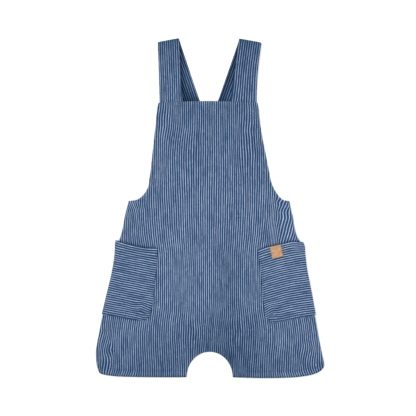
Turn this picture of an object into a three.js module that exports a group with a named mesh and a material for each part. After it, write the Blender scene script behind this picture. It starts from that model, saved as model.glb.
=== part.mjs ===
// Child's shortalls in striped linen, laid flat on a table, face up.
// Millimetres, +Z up. The garment's length runs along Y, with the straps at +Y.
// Every panel is a cloth wall worked out from short tables of its outline and its height above the table.
import * as THREE from 'three';

// Cloth and the clearances between its layers
const CLOTH = 1.2;
const STRAP_CLOTH = 1.6;
const SEAM_GAP = 0.3;
const LAYER_GAP = 0.4;

// The fold that rounds each side of the body, and how far the front reaches past it underneath
const SIDE_RADIUS = 3.0;
const SEAM_INSET = 12;

// Rows of the body, from the hem up: v is the height up the cloth before the hem and arch bend it
const HEM_V = -271;
const ARMHOLE_V = 11;
const BIB_TOP_V = 170;
const BACK_TOP = { rise: 2, ease: 60, seamEase: 30 };

// The arch between the legs is half an ellipse standing on the hem
const ARCH = { x: -0.6, halfWidth: 37.2, height: 40.8, crownHalf: 26, ease: 60, rollDown: 14, edgeZ: 3.0 };

// Side folds of the body, where the outline turns under
const SIDE_FOLDS = [
  { v: -271, left: -177.5, right: 181.5 },
  { v: -266.5, left: -179.4, right: 183.0 },
  { v: -258, left: -181.6, right: 182.0 },
  { v: -250, left: -182.5, right: 180.7 },
  { v: -239, left: -183.0, right: 178.9 },
  { v: -223, left: -181.7, right: 176.6 },
  { v: -202, left: -178.2, right: 173.2 },
  { v: -178, left: -173.4, right: 169.0 },
  { v: -148, left: -166.6, right: 163.6 },
  { v: -122, left: -160.2, right: 158.6 },
  { v: -97, left: -154.6, right: 153.2 },
  { v: -76, left: -150.8, right: 149.7 },
  { v: -60, left: -147.8, right: 146.6 },
  { v: -43, left: -142.4, right: 138.2 },
  { v: -29, left: -139.4, right: 135.0 },
  { v: -16, left: -137.2, right: 133.1 },
  { v: -3, left: -134.0, right: 130.0 },
  { v: 11, left: -130.6, right: 127.4 },
];

// Free edges of the bib, from the armhole's foot up to the bib's top corners
const BIB_EDGES = [
  { v: 11, left: -127.6, right: 124.4 },
  { v: 12, left: -119.6, right: 117.4 },
  { v: 14.5, left: -113.6, right: 113.8 },
  { v: 18.5, left: -108.6, right: 110.0 },
  { v: 24.5, left: -103.6, right: 105.6 },
  { v: 33.5, left: -99.0, right: 100.4 },
  { v: 46, left: -97.0, right: 96.4 },
  { v: 60, left: -94.8, right: 93.8 },
  { v: 89, left: -91.8, right: 88.2 },
  { v: 112, left: -89.3, right: 83.6 },
  { v: 136, left: -86.7, right: 79.9 },
  { v: 156, left: -84.9, right: 78.0 },
  { v: 170, left: -82.4, right: 75.8 },
];

// How far the hem line rises (or dips) across the garment, and the distance over which that fades upwards
const HEM_RISES = [
  { x: -183, rise: 8.4 },
  { x: -176, rise: 6.2 },
  { x: -161, rise: 3.0 },
  { x: -143, rise: 1.3 },
  { x: -106, rise: 0.4 },
  { x: -38, rise: 0 },
  { x: 38, rise: -0.2 },
  { x: 90, rise: -1.2 },
  { x: 130, rise: -0.3 },
  { x: 156, rise: 2.9 },
  { x: 170, rise: 6.9 },
  { x: 183, rise: 15.0 },
];
const HEM_EASE = 80;
const BIB_BOW = { rise: 0.6, fall: 2.4, halfWidth: 79, ease: 60 };

// Height of the front's upper face: its middle, and the free edge of the bib
const CROWNS = [
  { v: -271, z: 4.6 },
  { v: -240, z: 5.2 },
  { v: -180, z: 5.5 },
  { v: -110, z: 5.7 },
  { v: -40, z: 5.7 },
  { v: 10, z: 5.9 },
  { v: 60, z: 6.2 },
  { v: 110, z: 6.6 },
  { v: 170, z: 7.0 },
];
const BIB_EDGE_HEIGHTS = [
  { v: 11, z: 6.0 },
  { v: 24, z: 4.8 },
  { v: 46, z: 3.6 },
  { v: 90, z: 3.2 },
  { v: 130, z: 3.6 },
  { v: 156, z: 4.5 },
  { v: 170, z: 4.9 },
];
const SIDE_EASE = 40;
const BIB_EDGE_EASE = 32;
const FOLD_EDGE_EASE = 18;

// Largest folds of the front: middle, degrees from +X, length, width and height, where below 0 is a trough
const FOLDS = [
  { x: 20, y: -118, turn: 80, length: 150, width: 15, height: -1.0 },
  { x: 47, y: -176, turn: 115, length: 90, width: 14, height: -1.0 },
  { x: -4, y: -100, turn: 88, length: 130, width: 14, height: 0.8 },
  { x: -104, y: -216, turn: 25, length: 95, width: 12, height: -0.9 },
  { x: -52, y: -205, turn: 130, length: 80, width: 12, height: 0.8 },
  { x: 96, y: -228, turn: 160, length: 110, width: 12, height: -1.0 },
  { x: 62, y: -212, turn: 40, length: 80, width: 12, height: 0.7 },
  { x: 109, y: -18, turn: 95, length: 80, width: 9, height: -1.0 },
  { x: -113, y: -14, turn: 78, length: 70, width: 9, height: -0.9 },
  { x: -58, y: 120, turn: 86, length: 90, width: 9, height: -0.7 },
  { x: 52, y: 108, turn: 98, length: 110, width: 9, height: -0.7 },
  { x: 0, y: -212, turn: 90, length: 40, width: 7, height: -0.7 },
];

// Pockets: each lies across a side fold, half on the front and half underneath
const POCKET_LEFT = {
  name: 'pocket_left',
  side: -1,
  backReach: 58,
  innerEdge: [
    { t: 0, x: -98.6 },
    { t: 0.08, x: -95.4 },
    { t: 0.33, x: -90.9 },
    { t: 0.7, x: -86.6 },
    { t: 1, x: -84.6 },
  ],
  bottom: [
    { x: -175, y: -169.8 },
    { x: -147, y: -173.5 },
    { x: -126, y: -178.2 },
    { x: -111, y: -179.6 },
    { x: -98, y: -176.0 },
  ],
  mouth: [
    { x: -152, y: -52.2 },
    { x: -132, y: -58.2 },
    { x: -118, y: -61.7 },
    { x: -106, y: -63.9 },
    { x: -84, y: -65.6 },
  ],
  bulges: [
    { y: -110, out: 0.1 },
    { y: -84, out: 0.4 },
    { y: -70, out: 1.5 },
    { y: -60, out: 3.0 },
    { y: -52, out: 5.0 },
  ],
  lift: { x: -122, spread: 26, ease: 24, height: 2.6 },
};
const POCKET_RIGHT = {
  name: 'pocket_right',
  side: 1,
  backReach: 58,
  innerEdge: [
    { t: 0, x: 91.4 },
    { t: 0.08, x: 88.6 },
    { t: 0.33, x: 84.9 },
    { t: 0.7, x: 81.6 },
    { t: 1, x: 77.2 },
  ],
  bottom: [
    { x: 91, y: -178.4 },
    { x: 105, y: -181.2 },
    { x: 121, y: -178.6 },
    { x: 145, y: -174.0 },
    { x: 168, y: -170.4 },
  ],
  mouth: [
    { x: 77, y: -68.2 },
    { x: 92, y: -62.5 },
    { x: 113, y: -58.2 },
    { x: 135, y: -53.8 },
    { x: 150, y: -54.6 },
  ],
  bulges: [
    { y: -122, out: 0.1 },
    { y: -97, out: 0.6 },
    { y: -71, out: 2.0 },
    { y: -60, out: 3.4 },
    { y: -52, out: 3.4 },
  ],
  lift: { x: 116, spread: 26, ease: 24, height: 1.8 },
};
const POCKET_LIFT = CLOTH + LAYER_GAP;
const POCKET_ZONE = { bottomY: -186, topY: -46, ease: 16, reach: 64 };

// Straps: each is folded over at the shoulder; A is the outer and B the inner end of that fold line
const STRAP_ROLL = 2.2;
const STRAP_TOP_Z = STRAP_CLOTH / 2 + 2 * STRAP_ROLL;
const STRAP_END_V = 155;
const STRAP_LOW_ROWS = [40, 32, 24, 18, 13, 8, 2];
const STRAP_RISE = 62;
const STRAP_LEFT = {
  name: 'strap_left',
  foldA: { x: -83.4, y: 266.0 },
  foldB: { x: -49.7, y: 272.2 },
  frontA: { x: -80.4, y: 168.0 },
  frontB: { x: -44.4, y: 170.3 },
  frontBow: 0.3,
  backSlope: -0.3366,
  backHeights: [
    { y: 2, z: 2.4 },
    { y: 16, z: 2.4 },
    { y: 24, z: 0.8 },
    { y: 272, z: 0.8 },
  ],
};
const STRAP_RIGHT = {
  name: 'strap_right',
  foldA: { x: 82.0, y: 265.2 },
  foldB: { x: 46.8, y: 271.6 },
  frontA: { x: 74.3, y: 168.4 },
  frontB: { x: 32.4, y: 169.4 },
  frontBow: -2.0,
  backSlope: 0.3474,
  backHeights: [
    { y: 2, z: 2.6 },
    { y: 14, z: 3.0 },
    { y: 26, z: 3.3 },
    { y: 60, z: 2.9 },
    { y: 136, z: 2.9 },
    { y: 168, z: 0.8 },
    { y: 200, z: 0.8 },
    { y: 272, z: 0.8 },
  ],
};

// Leather tab sewn at the right pocket's mouth
const LABEL = { x: 104.2, top: -60.4, width: 17.4, height: 19.2, turn: 12, thick: 1.3 };

// Smooth steps and curves through tables
const TINY = 0.001;
const clamp01 = (value) => Math.min(1, Math.max(0, value));
const ease = (value) => clamp01(value) ** 2 * (3 - 2 * clamp01(value));
const mix = (from, to, share) => from + (to - from) * share;

// Cubic curve through a table's rows: reads column `to` at `value` of column `from`, held past the ends
function along(table, from, to, value) {
  const last = table.length - 1;
  if (value <= table[0][from]) return table[0][to];
  if (value >= table[last][from]) return table[last][to];
  let row = 0;
  while (value > table[row + 1][from]) row += 1;
  const slopeOf = (k) => (table[k + 1][to] - table[k][to]) / (table[k + 1][from] - table[k][from]);
  const tangent = (k) => {
    if (k === 0 || k === last) return slopeOf(Math.min(k, last - 1));
    const before = slopeOf(k - 1);
    const after = slopeOf(k);
    return before * after <= 0 ? 0 : (2 * before * after) / (before + after);
  };
  const span = table[row + 1][from] - table[row][from];
  const t = (value - table[row][from]) / span;
  const start = table[row][to] * (1 + 2 * t) * (1 - t) ** 2 + tangent(row) * span * t * (1 - t) ** 2;
  const end = table[row + 1][to] * t ** 2 * (3 - 2 * t) + tangent(row + 1) * span * t ** 2 * (t - 1);
  return start + end;
}

// Evenly spaced values from `from` to `to`, both included
function spaced(from, to, cells) {
  return Array.from({ length: cells + 1 }, (_, k) => mix(from, to, k / cells));
}

// Plan of the body: bends a row at height v by the hem's rise, the bib's bow and the arch's crown
function planY(x, v) {
  const hem = along(HEM_RISES, 'x', 'rise', x) * (1 - ease((v - HEM_V) / HEM_EASE));
  const across = (x - ARCH.x) / BIB_BOW.halfWidth;
  const nearTop = ease((v - BIB_TOP_V + BIB_BOW.ease) / BIB_BOW.ease);
  const bow = (BIB_BOW.rise - BIB_BOW.fall * across ** 2) * nearTop;
  const crown = (archTopY(x) - archShoulderV()) * (1 - ease((v - archShoulderV()) / ARCH.ease));
  const isAboveArch = Math.abs(x - ARCH.x) < ARCH.crownHalf && v >= archShoulderV() - TINY;
  return v + hem + bow + (isAboveArch ? crown : 0);
}

// Height of the arch's edge at x, and of the shoulder where its crown begins
const archTopY = (x) => {
  const across = Math.min(1, Math.abs(x - ARCH.x) / ARCH.halfWidth);
  return HEM_V + ARCH.height * Math.sqrt(1 - across ** 2);
};
const archShoulderV = () => archTopY(ARCH.x + ARCH.crownHalf);

// Half width of the middle band of columns: the arch's own below its shoulder, then level
function bandHalf(v) {
  if (v >= archShoulderV()) return ARCH.crownHalf;
  return ARCH.halfWidth * Math.sqrt(1 - ((v - HEM_V) / ARCH.height) ** 2);
}

const sideFold = (side, v) => along(SIDE_FOLDS, 'v', side < 0 ? 'left' : 'right', v);

// Edge of the front's upper face: the bib's free edge, or the start of the side fold
function topEdge(side, v) {
  if (v > ARMHOLE_V) return along(BIB_EDGES, 'v', side < 0 ? 'left' : 'right', v);
  return sideFold(side, v) - side * SIDE_RADIUS;
}

// Height of the body's underside: the table, or the pocket's cloth where a pocket lies beneath
function underZ(x, y) {
  const side = x < ARCH.x ? -1 : 1;
  const inward = (sideFold(side, y) - x) * side;
  const across = 1 - ease((inward - POCKET_ZONE.reach) / POCKET_ZONE.ease);
  const up = ease((y - POCKET_ZONE.bottomY + POCKET_ZONE.ease) / POCKET_ZONE.ease);
  const down = 1 - ease((y - POCKET_ZONE.topY) / POCKET_ZONE.ease);
  return POCKET_LIFT * across * up * down;
}

// Sum of the soft folds at a point of the front
function foldZ(x, y) {
  let height = 0;
  for (const fold of FOLDS) {
    const turn = THREE.MathUtils.degToRad(fold.turn);
    const run = (x - fold.x) * Math.cos(turn) + (y - fold.y) * Math.sin(turn);
    const off = (y - fold.y) * Math.cos(turn) - (x - fold.x) * Math.sin(turn);
    height += fold.height * Math.exp(-((off / fold.width) ** 2) - (2 * run / fold.length) ** 4);
  }
  return height;
}

// Upper face of the front at a point, worked out from the nearer edge, the middle's height and the folds
function frontZ(x, y) {
  const side = x < ARCH.x ? -1 : 1;
  const inward = Math.max(0, (topEdge(side, y) - x) * side);
  const isBib = y > ARMHOLE_V;
  const rim = isBib ? along(BIB_EDGE_HEIGHTS, 'v', 'z', y) : underZ(topEdge(side, y), y) + 2 * SIDE_RADIUS;
  const inShare = ease(inward / (isBib ? BIB_EDGE_EASE : SIDE_EASE));
  const open = mix(rim, along(CROWNS, 'v', 'z', y), inShare) + foldZ(x, y) * ease(inward / FOLD_EDGE_EASE);
  const archReach = Math.hypot((x - ARCH.x) / ARCH.halfWidth, (y - HEM_V) / ARCH.height) - 1;
  return mix(ARCH.edgeZ, open, ease((archReach * ARCH.halfWidth) / ARCH.rollDown));
}

// Closed wall over a grid: point(i, j, depth) with depth 0 outside and 1 inside; cells in `has` are cloth
function wall(name, material, columns, rows, point, has = () => true) {
  const positions = [];
  const indices = [];
  const rowSize = columns + 1;
  const layerSize = rowSize * (rows + 1);
  for (const depth of [0, 1]) {
    for (let j = 0; j <= rows; j += 1) {
      for (let i = 0; i <= columns; i += 1) positions.push(...point(i, j, depth));
    }
  }
  const quad = (a, b, c, d) => indices.push(a, b, c, a, c, d);
  const present = (i, j) => i >= 0 && j >= 0 && i < columns && j < rows && has(i, j);
  for (let j = 0; j < rows; j += 1) {
    for (let i = 0; i < columns; i += 1) {
      if (!present(i, j)) continue;
      const a = j * rowSize + i;
      const b = a + 1;
      const c = b + rowSize;
      const d = a + rowSize;
      quad(a, b, c, d);
      quad(a + layerSize, d + layerSize, c + layerSize, b + layerSize);
      if (!present(i, j - 1)) quad(b, a, a + layerSize, b + layerSize);
      if (!present(i + 1, j)) quad(c, b, b + layerSize, c + layerSize);
      if (!present(i, j + 1)) quad(d, c, c + layerSize, d + layerSize);
      if (!present(i - 1, j)) quad(a, d, d + layerSize, a + layerSize);
    }
  }
  return closedMesh(name, material, positions, indices);
}

// Mesh of the used points only, turned inside out when its volume comes out below zero
function closedMesh(name, material, positions, indices) {
  const used = new Map();
  const kept = [];
  const renumbered = indices.map((index) => {
    if (!used.has(index)) {
      used.set(index, used.size);
      kept.push(...positions.slice(3 * index, 3 * index + 3));
    }
    return used.get(index);
  });
  const corner = (index) => new THREE.Vector3().fromArray(kept, 3 * index);
  let volume = 0;
  for (let k = 0; k < renumbered.length; k += 3) {
    const [a, b, c] = renumbered.slice(k, k + 3).map(corner);
    volume += a.dot(b.cross(c)) / 6;
  }
  if (volume < 0) renumbered.reverse();
  const geometry = new THREE.BufferGeometry();
  geometry.setAttribute('position', new THREE.Float32BufferAttribute(kept, 3));
  geometry.setIndex(renumbered);
  geometry.computeVertexNormals();
  const mesh = new THREE.Mesh(geometry, material);
  mesh.name = name;
  return mesh;
}

// Rows shared by the front and the back below the armholes: close at the arch, even above it
function legRows() {
  const shoulder = archShoulderV();
  return [...spaced(HEM_V, shoulder, 4), ...spaced(shoulder, ARMHOLE_V, 22).slice(1)];
}

// Front: seam edge, left side fold, upper face in three bands, right side fold, seam edge
function frontBody(material) {
  const rollCells = 5;
  const legCells = 12;
  const bandCells = 6;
  const legs = legRows();
  const bib = [...BIB_EDGES.slice(1, 7).map((row) => row.v), ...spaced(46, BIB_TOP_V, 11).slice(1)];
  const rows = [...legs, ...bib];
  const wrap = rollCells + 1;
  const faceCells = 2 * legCells + bandCells;
  const columns = faceCells + 2 * wrap;
  const faceX = (k, v) => {
    const half = bandHalf(v);
    if (k <= legCells) return mix(topEdge(-1, v), ARCH.x - half, k / legCells);
    if (k <= legCells + bandCells) return mix(ARCH.x - half, ARCH.x + half, (k - legCells) / bandCells);
    return mix(ARCH.x + half, topEdge(1, v), (k - legCells - bandCells) / legCells);
  };
  const point = (i, j, depth) => {
    const v = rows[j];
    const k = i - wrap;
    if (k >= 0 && k <= faceCells) {
      const x = faceX(k, v);
      const y = planY(x, v);
      return [x, y, frontZ(x, y) - depth * CLOTH];
    }
    const side = k < 0 ? -1 : 1;
    const steps = side < 0 ? -k : k - faceCells;
    return sidePoint(side, v, steps, rollCells, depth);
  };
  const archRow = legs.indexOf(legs.find((v) => v >= archShoulderV() - TINY));
  const has = (i, j) => {
    const k = i - wrap;
    const isFace = k >= 0 && k < faceCells;
    if (!isFace) return rows[j + 1] <= ARMHOLE_V + TINY;
    return !(j < archRow && k >= legCells && k < legCells + bandCells);
  };
  return wall('front_body', material, columns, rows.length - 1, point, has);
}

// Side fold of the front, `steps` cells past the upper face: round the fold, then flat to the seam
function sidePoint(side, v, steps, rollCells, depth) {
  const fold = sideFold(side, v);
  const centreX = fold - side * SIDE_RADIUS;
  const y = planY(fold, v);
  const under = underZ(centreX, y);
  if (steps > rollCells) {
    return [centreX - side * SEAM_INSET, y, underZ(centreX - side * SEAM_INSET, y) + depth * CLOTH];
  }
  const angle = (Math.PI * steps) / rollCells;
  const radius = SIDE_RADIUS - depth * CLOTH;
  return [centreX + side * radius * Math.sin(angle), y, under + SIDE_RADIUS + radius * Math.cos(angle)];
}

// Back: one flat panel between the two seams, with the same arch and hem, and a plain top edge
function backBody(material) {
  const legCells = 9;
  const bandCells = 6;
  const rows = legRows();
  const edge = (side, v) => sideFold(side, v) - side * (SIDE_RADIUS + SEAM_INSET + SEAM_GAP);
  const point = (i, j, depth) => {
    const v = rows[j];
    const half = bandHalf(v);
    let x = mix(ARCH.x - half, ARCH.x + half, (i - legCells) / bandCells);
    if (i < legCells) x = mix(edge(-1, v), ARCH.x - half, i / legCells);
    if (i > legCells + bandCells) x = mix(ARCH.x + half, edge(1, v), (i - legCells - bandCells) / legCells);
    const inShare = 1 - ((x - ARCH.x) / edge(1, v)) ** 2;
    const rise = BACK_TOP.rise * inShare * ease((v - ARMHOLE_V + BACK_TOP.ease) / BACK_TOP.ease);
    const side = x < ARCH.x ? -1 : 1;
    const seamY = planY(sideFold(side, v), v);
    const nearSeam = 1 - ease(Math.abs(x - edge(side, v)) / BACK_TOP.seamEase);
    const y = mix(planY(x, v), seamY, nearSeam) + rise;
    return [x, y, underZ(x, y) + (1 - depth) * CLOTH];
  };
  const archRow = rows.indexOf(rows.find((v) => v >= archShoulderV() - TINY));
  const has = (i, j) => !(j < archRow && i >= legCells && i < legCells + bandCells);
  return wall('back_body', material, 2 * legCells + bandCells, rows.length - 1, point, has);
}

// Outer face of a pocket's front half: the body's upper face moved out, with the mouth standing off it
function pocketZ(pocket, x, y) {
  const { lift } = pocket;
  const below = Math.max(0, along(pocket.mouth, 'x', 'y', x) - y);
  const mouth = lift.height * Math.exp(-(((x - lift.x) / lift.spread) ** 2) - below / lift.ease);
  return frontZ(x, y) + LAYER_GAP + CLOTH + mouth;
}

// Pocket: front half, round the side fold, then flat underneath, between its bottom and its mouth
function pocketPiece(pocket, material) {
  const frontCells = 9;
  const rollCells = 6;
  const backCells = 5;
  const rowCells = 10;
  const { side } = pocket;
  const outer = SIDE_RADIUS + POCKET_LIFT;
  const point = (i, j, depth) => {
    const t = j / rowCells;
    const inner = along(pocket.innerEdge, 't', 'x', t);
    const rowY = (x) => mix(along(pocket.bottom, 'x', 'y', x), along(pocket.mouth, 'x', 'y', x), t);
    const foldY = rowY(sideFold(side, HEM_V));
    const bulge = along(pocket.bulges, 'y', 'out', foldY);
    const centreX = sideFold(side, foldY) - side * (SIDE_RADIUS - bulge);
    if (i <= frontCells) {
      const x = mix(inner, centreX, i / frontCells);
      const y = rowY(x);
      return [x, y, pocketZ(pocket, x, y) - depth * CLOTH];
    }
    if (i <= frontCells + rollCells) {
      const angle = (Math.PI * (i - frontCells)) / rollCells;
      const radius = outer - depth * CLOTH;
      return [centreX + side * radius * Math.sin(angle), foldY, outer + radius * Math.cos(angle)];
    }
    const share = (i - frontCells - rollCells) / backCells;
    const x = centreX - side * share * pocket.backReach;
    return [x, rowY(x), depth * CLOTH];
  };
  return wall(pocket.name, material, frontCells + rollCells + backCells, rowCells, point);
}

// Strap: front run from behind the bib, a half round at the shoulder fold, then the run to the back's edge
function strapPiece(strap, material) {
  const frontCells = 9;
  const rollCells = 5;
  const backCells = 15;
  const acrossCells = 4;
  const frontShare = (STRAP_TOP_Z - STRAP_CLOTH / 2) / 2;
  const point = (i, j, depth) => {
    const w = i / acrossCells;
    const fold = { x: mix(strap.foldA.x, strap.foldB.x, w), y: mix(strap.foldA.y, strap.foldB.y, w) };
    const low = { x: mix(strap.frontA.x, strap.frontB.x, w), y: mix(strap.frontA.y, strap.frontB.y, w) };
    const half = STRAP_CLOTH / 2 - depth * STRAP_CLOTH;
    const inset = frontShare + STRAP_CLOTH / 2;
    if (j <= frontCells) {
      const y = mix(STRAP_END_V, fold.y - inset, j / frontCells);
      const share = (y - low.y) / (fold.y - low.y);
      const bow = strap.frontBow * (1 - w) * Math.sin(Math.PI * clamp01(share));
      const x = mix(low.x, fold.x, share) + bow;
      return [x, y, strapFrontZ(x, y) + half];
    }
    if (j < frontCells + rollCells) {
      const angle = (Math.PI * (j - frontCells)) / rollCells;
      const radius = frontShare + half;
      const y = fold.y - inset + radius * Math.sin(angle);
      return [fold.x, y, STRAP_CLOTH / 2 + frontShare + radius * Math.cos(angle)];
    }
    const k = j - frontCells - rollCells;
    const upperY = mix(fold.y - inset, STRAP_LOW_ROWS[0], k / backCells);
    const y = k > backCells ? STRAP_LOW_ROWS[k - backCells] : upperY;
    const x = fold.x + strap.backSlope * (y - fold.y + inset);
    return [x, y, along(strap.backHeights, 'y', 'z', y) - half];
  };
  const lowCells = STRAP_LOW_ROWS.length - 1;
  return wall(strap.name, material, acrossCells, frontCells + rollCells + backCells + lowCells, point);
}

// Middle of a strap's front run: just behind the bib, then easing up to its height at the shoulder
function strapFrontZ(x, y) {
  const behindBib = frontZ(x, Math.min(y, BIB_TOP_V - 3)) - CLOTH - LAYER_GAP - STRAP_CLOTH / 2;
  return mix(behindBib, STRAP_TOP_Z, ease((y - BIB_TOP_V - 2) / STRAP_RISE));
}

// Leather tab: a small panel on the right pocket's outer face
function labelPiece(material) {
  const cells = 3;
  const turn = THREE.MathUtils.degToRad(LABEL.turn);
  const point = (i, j, depth) => {
    const across = LABEL.width * (i / cells - 0.5);
    const down = LABEL.height * (1 - j / cells);
    const x = LABEL.x + across * Math.cos(turn) + down * Math.sin(turn);
    const y = LABEL.top + across * Math.sin(turn) - down * Math.cos(turn);
    return [x, y, pocketZ(POCKET_RIGHT, x, y) + LAYER_GAP + (1 - depth) * LABEL.thick];
  };
  return wall('label', material, cells, cells, point);
}

const linen = () => new THREE.MeshStandardMaterial({ color: 0x5b7092, roughness: 0.9, metalness: 0 });
const leather = () => new THREE.MeshStandardMaterial({ color: 0xc99a6b, roughness: 0.7, metalness: 0 });

const shortalls = new THREE.Group();
shortalls.name = 'shortalls';
shortalls.add(frontBody(linen()), backBody(linen()));
for (const pocket of [POCKET_LEFT, POCKET_RIGHT]) shortalls.add(pocketPiece(pocket, linen()));
for (const strap of [STRAP_LEFT, STRAP_RIGHT]) shortalls.add(strapPiece(strap, linen()));
shortalls.add(labelPiece(leather()));

export default shortalls;
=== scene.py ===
"""Child's shortalls in striped linen, laid flat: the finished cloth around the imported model.

Laid out as an add-on and run as a script. Every length in a table or a size below is in millimetres, in the
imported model's own frame, and becomes metres when a mesh is made. Each cloth piece is a wall worked out on a
grid of two parameters: across the piece and up it.
"""

import math

import bpy
import numpy as np
from bpy.props import FloatProperty, FloatVectorProperty, PointerProperty
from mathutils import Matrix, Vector


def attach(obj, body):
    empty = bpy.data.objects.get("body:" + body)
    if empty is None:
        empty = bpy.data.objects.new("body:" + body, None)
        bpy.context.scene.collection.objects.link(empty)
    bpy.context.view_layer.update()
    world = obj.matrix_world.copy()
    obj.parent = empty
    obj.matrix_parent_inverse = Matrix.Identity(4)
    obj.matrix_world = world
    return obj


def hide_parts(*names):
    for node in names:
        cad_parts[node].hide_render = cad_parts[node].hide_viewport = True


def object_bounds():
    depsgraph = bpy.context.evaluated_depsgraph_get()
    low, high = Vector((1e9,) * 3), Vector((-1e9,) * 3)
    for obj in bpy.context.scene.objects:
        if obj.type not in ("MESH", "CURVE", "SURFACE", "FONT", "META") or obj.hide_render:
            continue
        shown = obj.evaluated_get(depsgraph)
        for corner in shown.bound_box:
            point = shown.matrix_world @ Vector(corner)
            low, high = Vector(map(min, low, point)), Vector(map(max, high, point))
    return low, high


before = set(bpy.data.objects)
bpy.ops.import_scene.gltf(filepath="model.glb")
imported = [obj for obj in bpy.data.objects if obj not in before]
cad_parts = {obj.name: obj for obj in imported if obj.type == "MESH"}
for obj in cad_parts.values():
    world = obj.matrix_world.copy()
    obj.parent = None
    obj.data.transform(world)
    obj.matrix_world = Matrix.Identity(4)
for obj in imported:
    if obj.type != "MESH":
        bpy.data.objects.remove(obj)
CAD_LOW, CAD_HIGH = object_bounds()

bl_info = {
    "name": "Striped linen shortalls",
    "version": (1, 0, 0),
    "blender": (4, 5, 0),
    "location": "3D View > Sidebar > Shortalls",
    "description": "Builds the cloth, stitching, leather tab and studio of a pair of child's shortalls",
    "category": "Mesh",
}

MM = 0.001
BODY = "root"

# Cloth walls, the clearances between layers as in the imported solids, and how far a wall's rim bulges, as a
# share of its thickness
CLOTH = 1.2
STRAP_CLOTH = 1.6
SEAM_GAP = 0.3
LAYER_GAP = 0.4
SIDE_RADIUS = 3.0
SEAM_INSET = 12.0
RIM_PUSH = 0.3

# Heights of the body, from the hem up; rows closer than LEVEL count as one
HEM_V = -271.0
ARMHOLE_V = 11.0
BIB_TOP_V = 170.0
LEVEL = 1e-6
BACK_TOP = {"rise": 2.0, "ease": 60.0, "seam_ease": 30.0}
ARCH = {
    "x": -0.6, "half_width": 37.2, "height": 40.8, "crown_half": 26.0, "ease": 60.0, "roll_down": 14.0,
    "edge_z": 3.0,
}
HEM_EASE = 80.0
BIB_BOW = {"rise": 0.6, "fall": 2.4, "half_width": 79.0, "ease": 60.0}

# Distances from an edge over which the crown, the main folds and the fine relief rise
SIDE_EASE = 40.0
BIB_EDGE_EASE = 32.0
FOLD_EDGE_EASE = 18.0
DETAIL_EDGE_EASE = 7.0
DETAIL_ARCH_EASE = 9.0
BACK_SEAM_EASE = 14.0
BACK_ARCH_EASE = 12.0

# Steps of the grids, and the close rows at the armhole's foot
FRONT_STEPS = {"leg": 65, "band": 20, "arch": 12, "above_arch": 130, "bib": 70, "turn": 10}
BACK_STEPS = {"leg": 40, "band": 16, "arch": 8, "above_arch": 80}
SEAM_STEPS = 5
POCKET_STEPS = {"up": 70, "front": 45, "turn": 12, "back": 24}
STRAP_STEPS = {"across": 20, "front": 55, "turn": 12, "back": 120}
LABEL_STEPS = {"across": 26, "down": 28}
FOOT_ROWS = np.array([11.4, 12.0, 13.0, 14.5, 16.4, 18.5, 21.4, 24.5, 28.8, 33.5])

# Side folds of the body: height v, then the left and right x
SIDE_FOLDS = np.array([
    (-271, -177.5, 181.5), (-266.5, -179.4, 183.0), (-258, -181.6, 182.0), (-250, -182.5, 180.7),
    (-239, -183.0, 178.9), (-223, -181.7, 176.6), (-202, -178.2, 173.2), (-178, -173.4, 169.0),
    (-148, -166.6, 163.6), (-122, -160.2, 158.6), (-97, -154.6, 153.2), (-76, -150.8, 149.7),
    (-60, -147.8, 146.6), (-43, -142.4, 138.2), (-29, -139.4, 135.0), (-16, -137.2, 133.1),
    (-3, -134.0, 130.0), (11, -130.6, 127.4),
])
# Free edges of the bib: height v, then the left and right x
BIB_EDGES = np.array([
    (11, -127.6, 124.4), (12, -119.6, 117.4), (14.5, -113.6, 113.8), (18.5, -108.6, 110.0),
    (24.5, -103.6, 105.6), (33.5, -99.0, 100.4), (46, -97.0, 96.4), (60, -94.8, 93.8),
    (89, -91.8, 88.2), (112, -89.3, 83.6), (136, -86.7, 79.9), (156, -84.9, 78.0), (170, -82.4, 75.8),
])
# Rise of the hem line: x, rise
HEM_RISES = np.array([
    (-183, 8.4), (-176, 6.2), (-161, 3.0), (-143, 1.3), (-106, 0.4), (-38, 0.0), (38, -0.2),
    (90, -1.2), (130, -0.3), (156, 2.9), (170, 6.9), (183, 15.0),
])
# Height of the front's upper face along its middle, and along the bib's free edges: v, z
CROWNS = np.array([
    (-271, 4.6), (-240, 5.2), (-180, 5.5), (-110, 5.7), (-40, 5.7), (10, 5.9), (60, 6.2), (110, 6.6),
    (170, 7.0),
])
BIB_EDGE_HEIGHTS = np.array([(11, 6.0), (24, 4.8), (46, 3.6), (90, 3.2), (130, 3.6), (156, 4.5), (170, 4.9)])

# Largest folds of the front, as in the solids: x, y, degrees from +X, length, width, height
MAIN_FOLDS = [
    (20, -118, 80, 150, 15, -1.0), (47, -176, 115, 90, 14, -1.0), (-4, -100, 88, 130, 14, 0.8),
    (-104, -216, 25, 95, 12, -0.9), (-52, -205, 130, 80, 12, 0.8), (96, -228, 160, 110, 12, -1.0),
    (62, -212, 40, 80, 12, 0.7), (109, -18, 95, 80, 9, -1.0), (-113, -14, 78, 70, 9, -0.9),
    (-58, 120, 86, 90, 9, -0.7), (52, 108, 98, 110, 9, -0.7), (0, -212, 90, 40, 7, -0.7),
]
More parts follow.
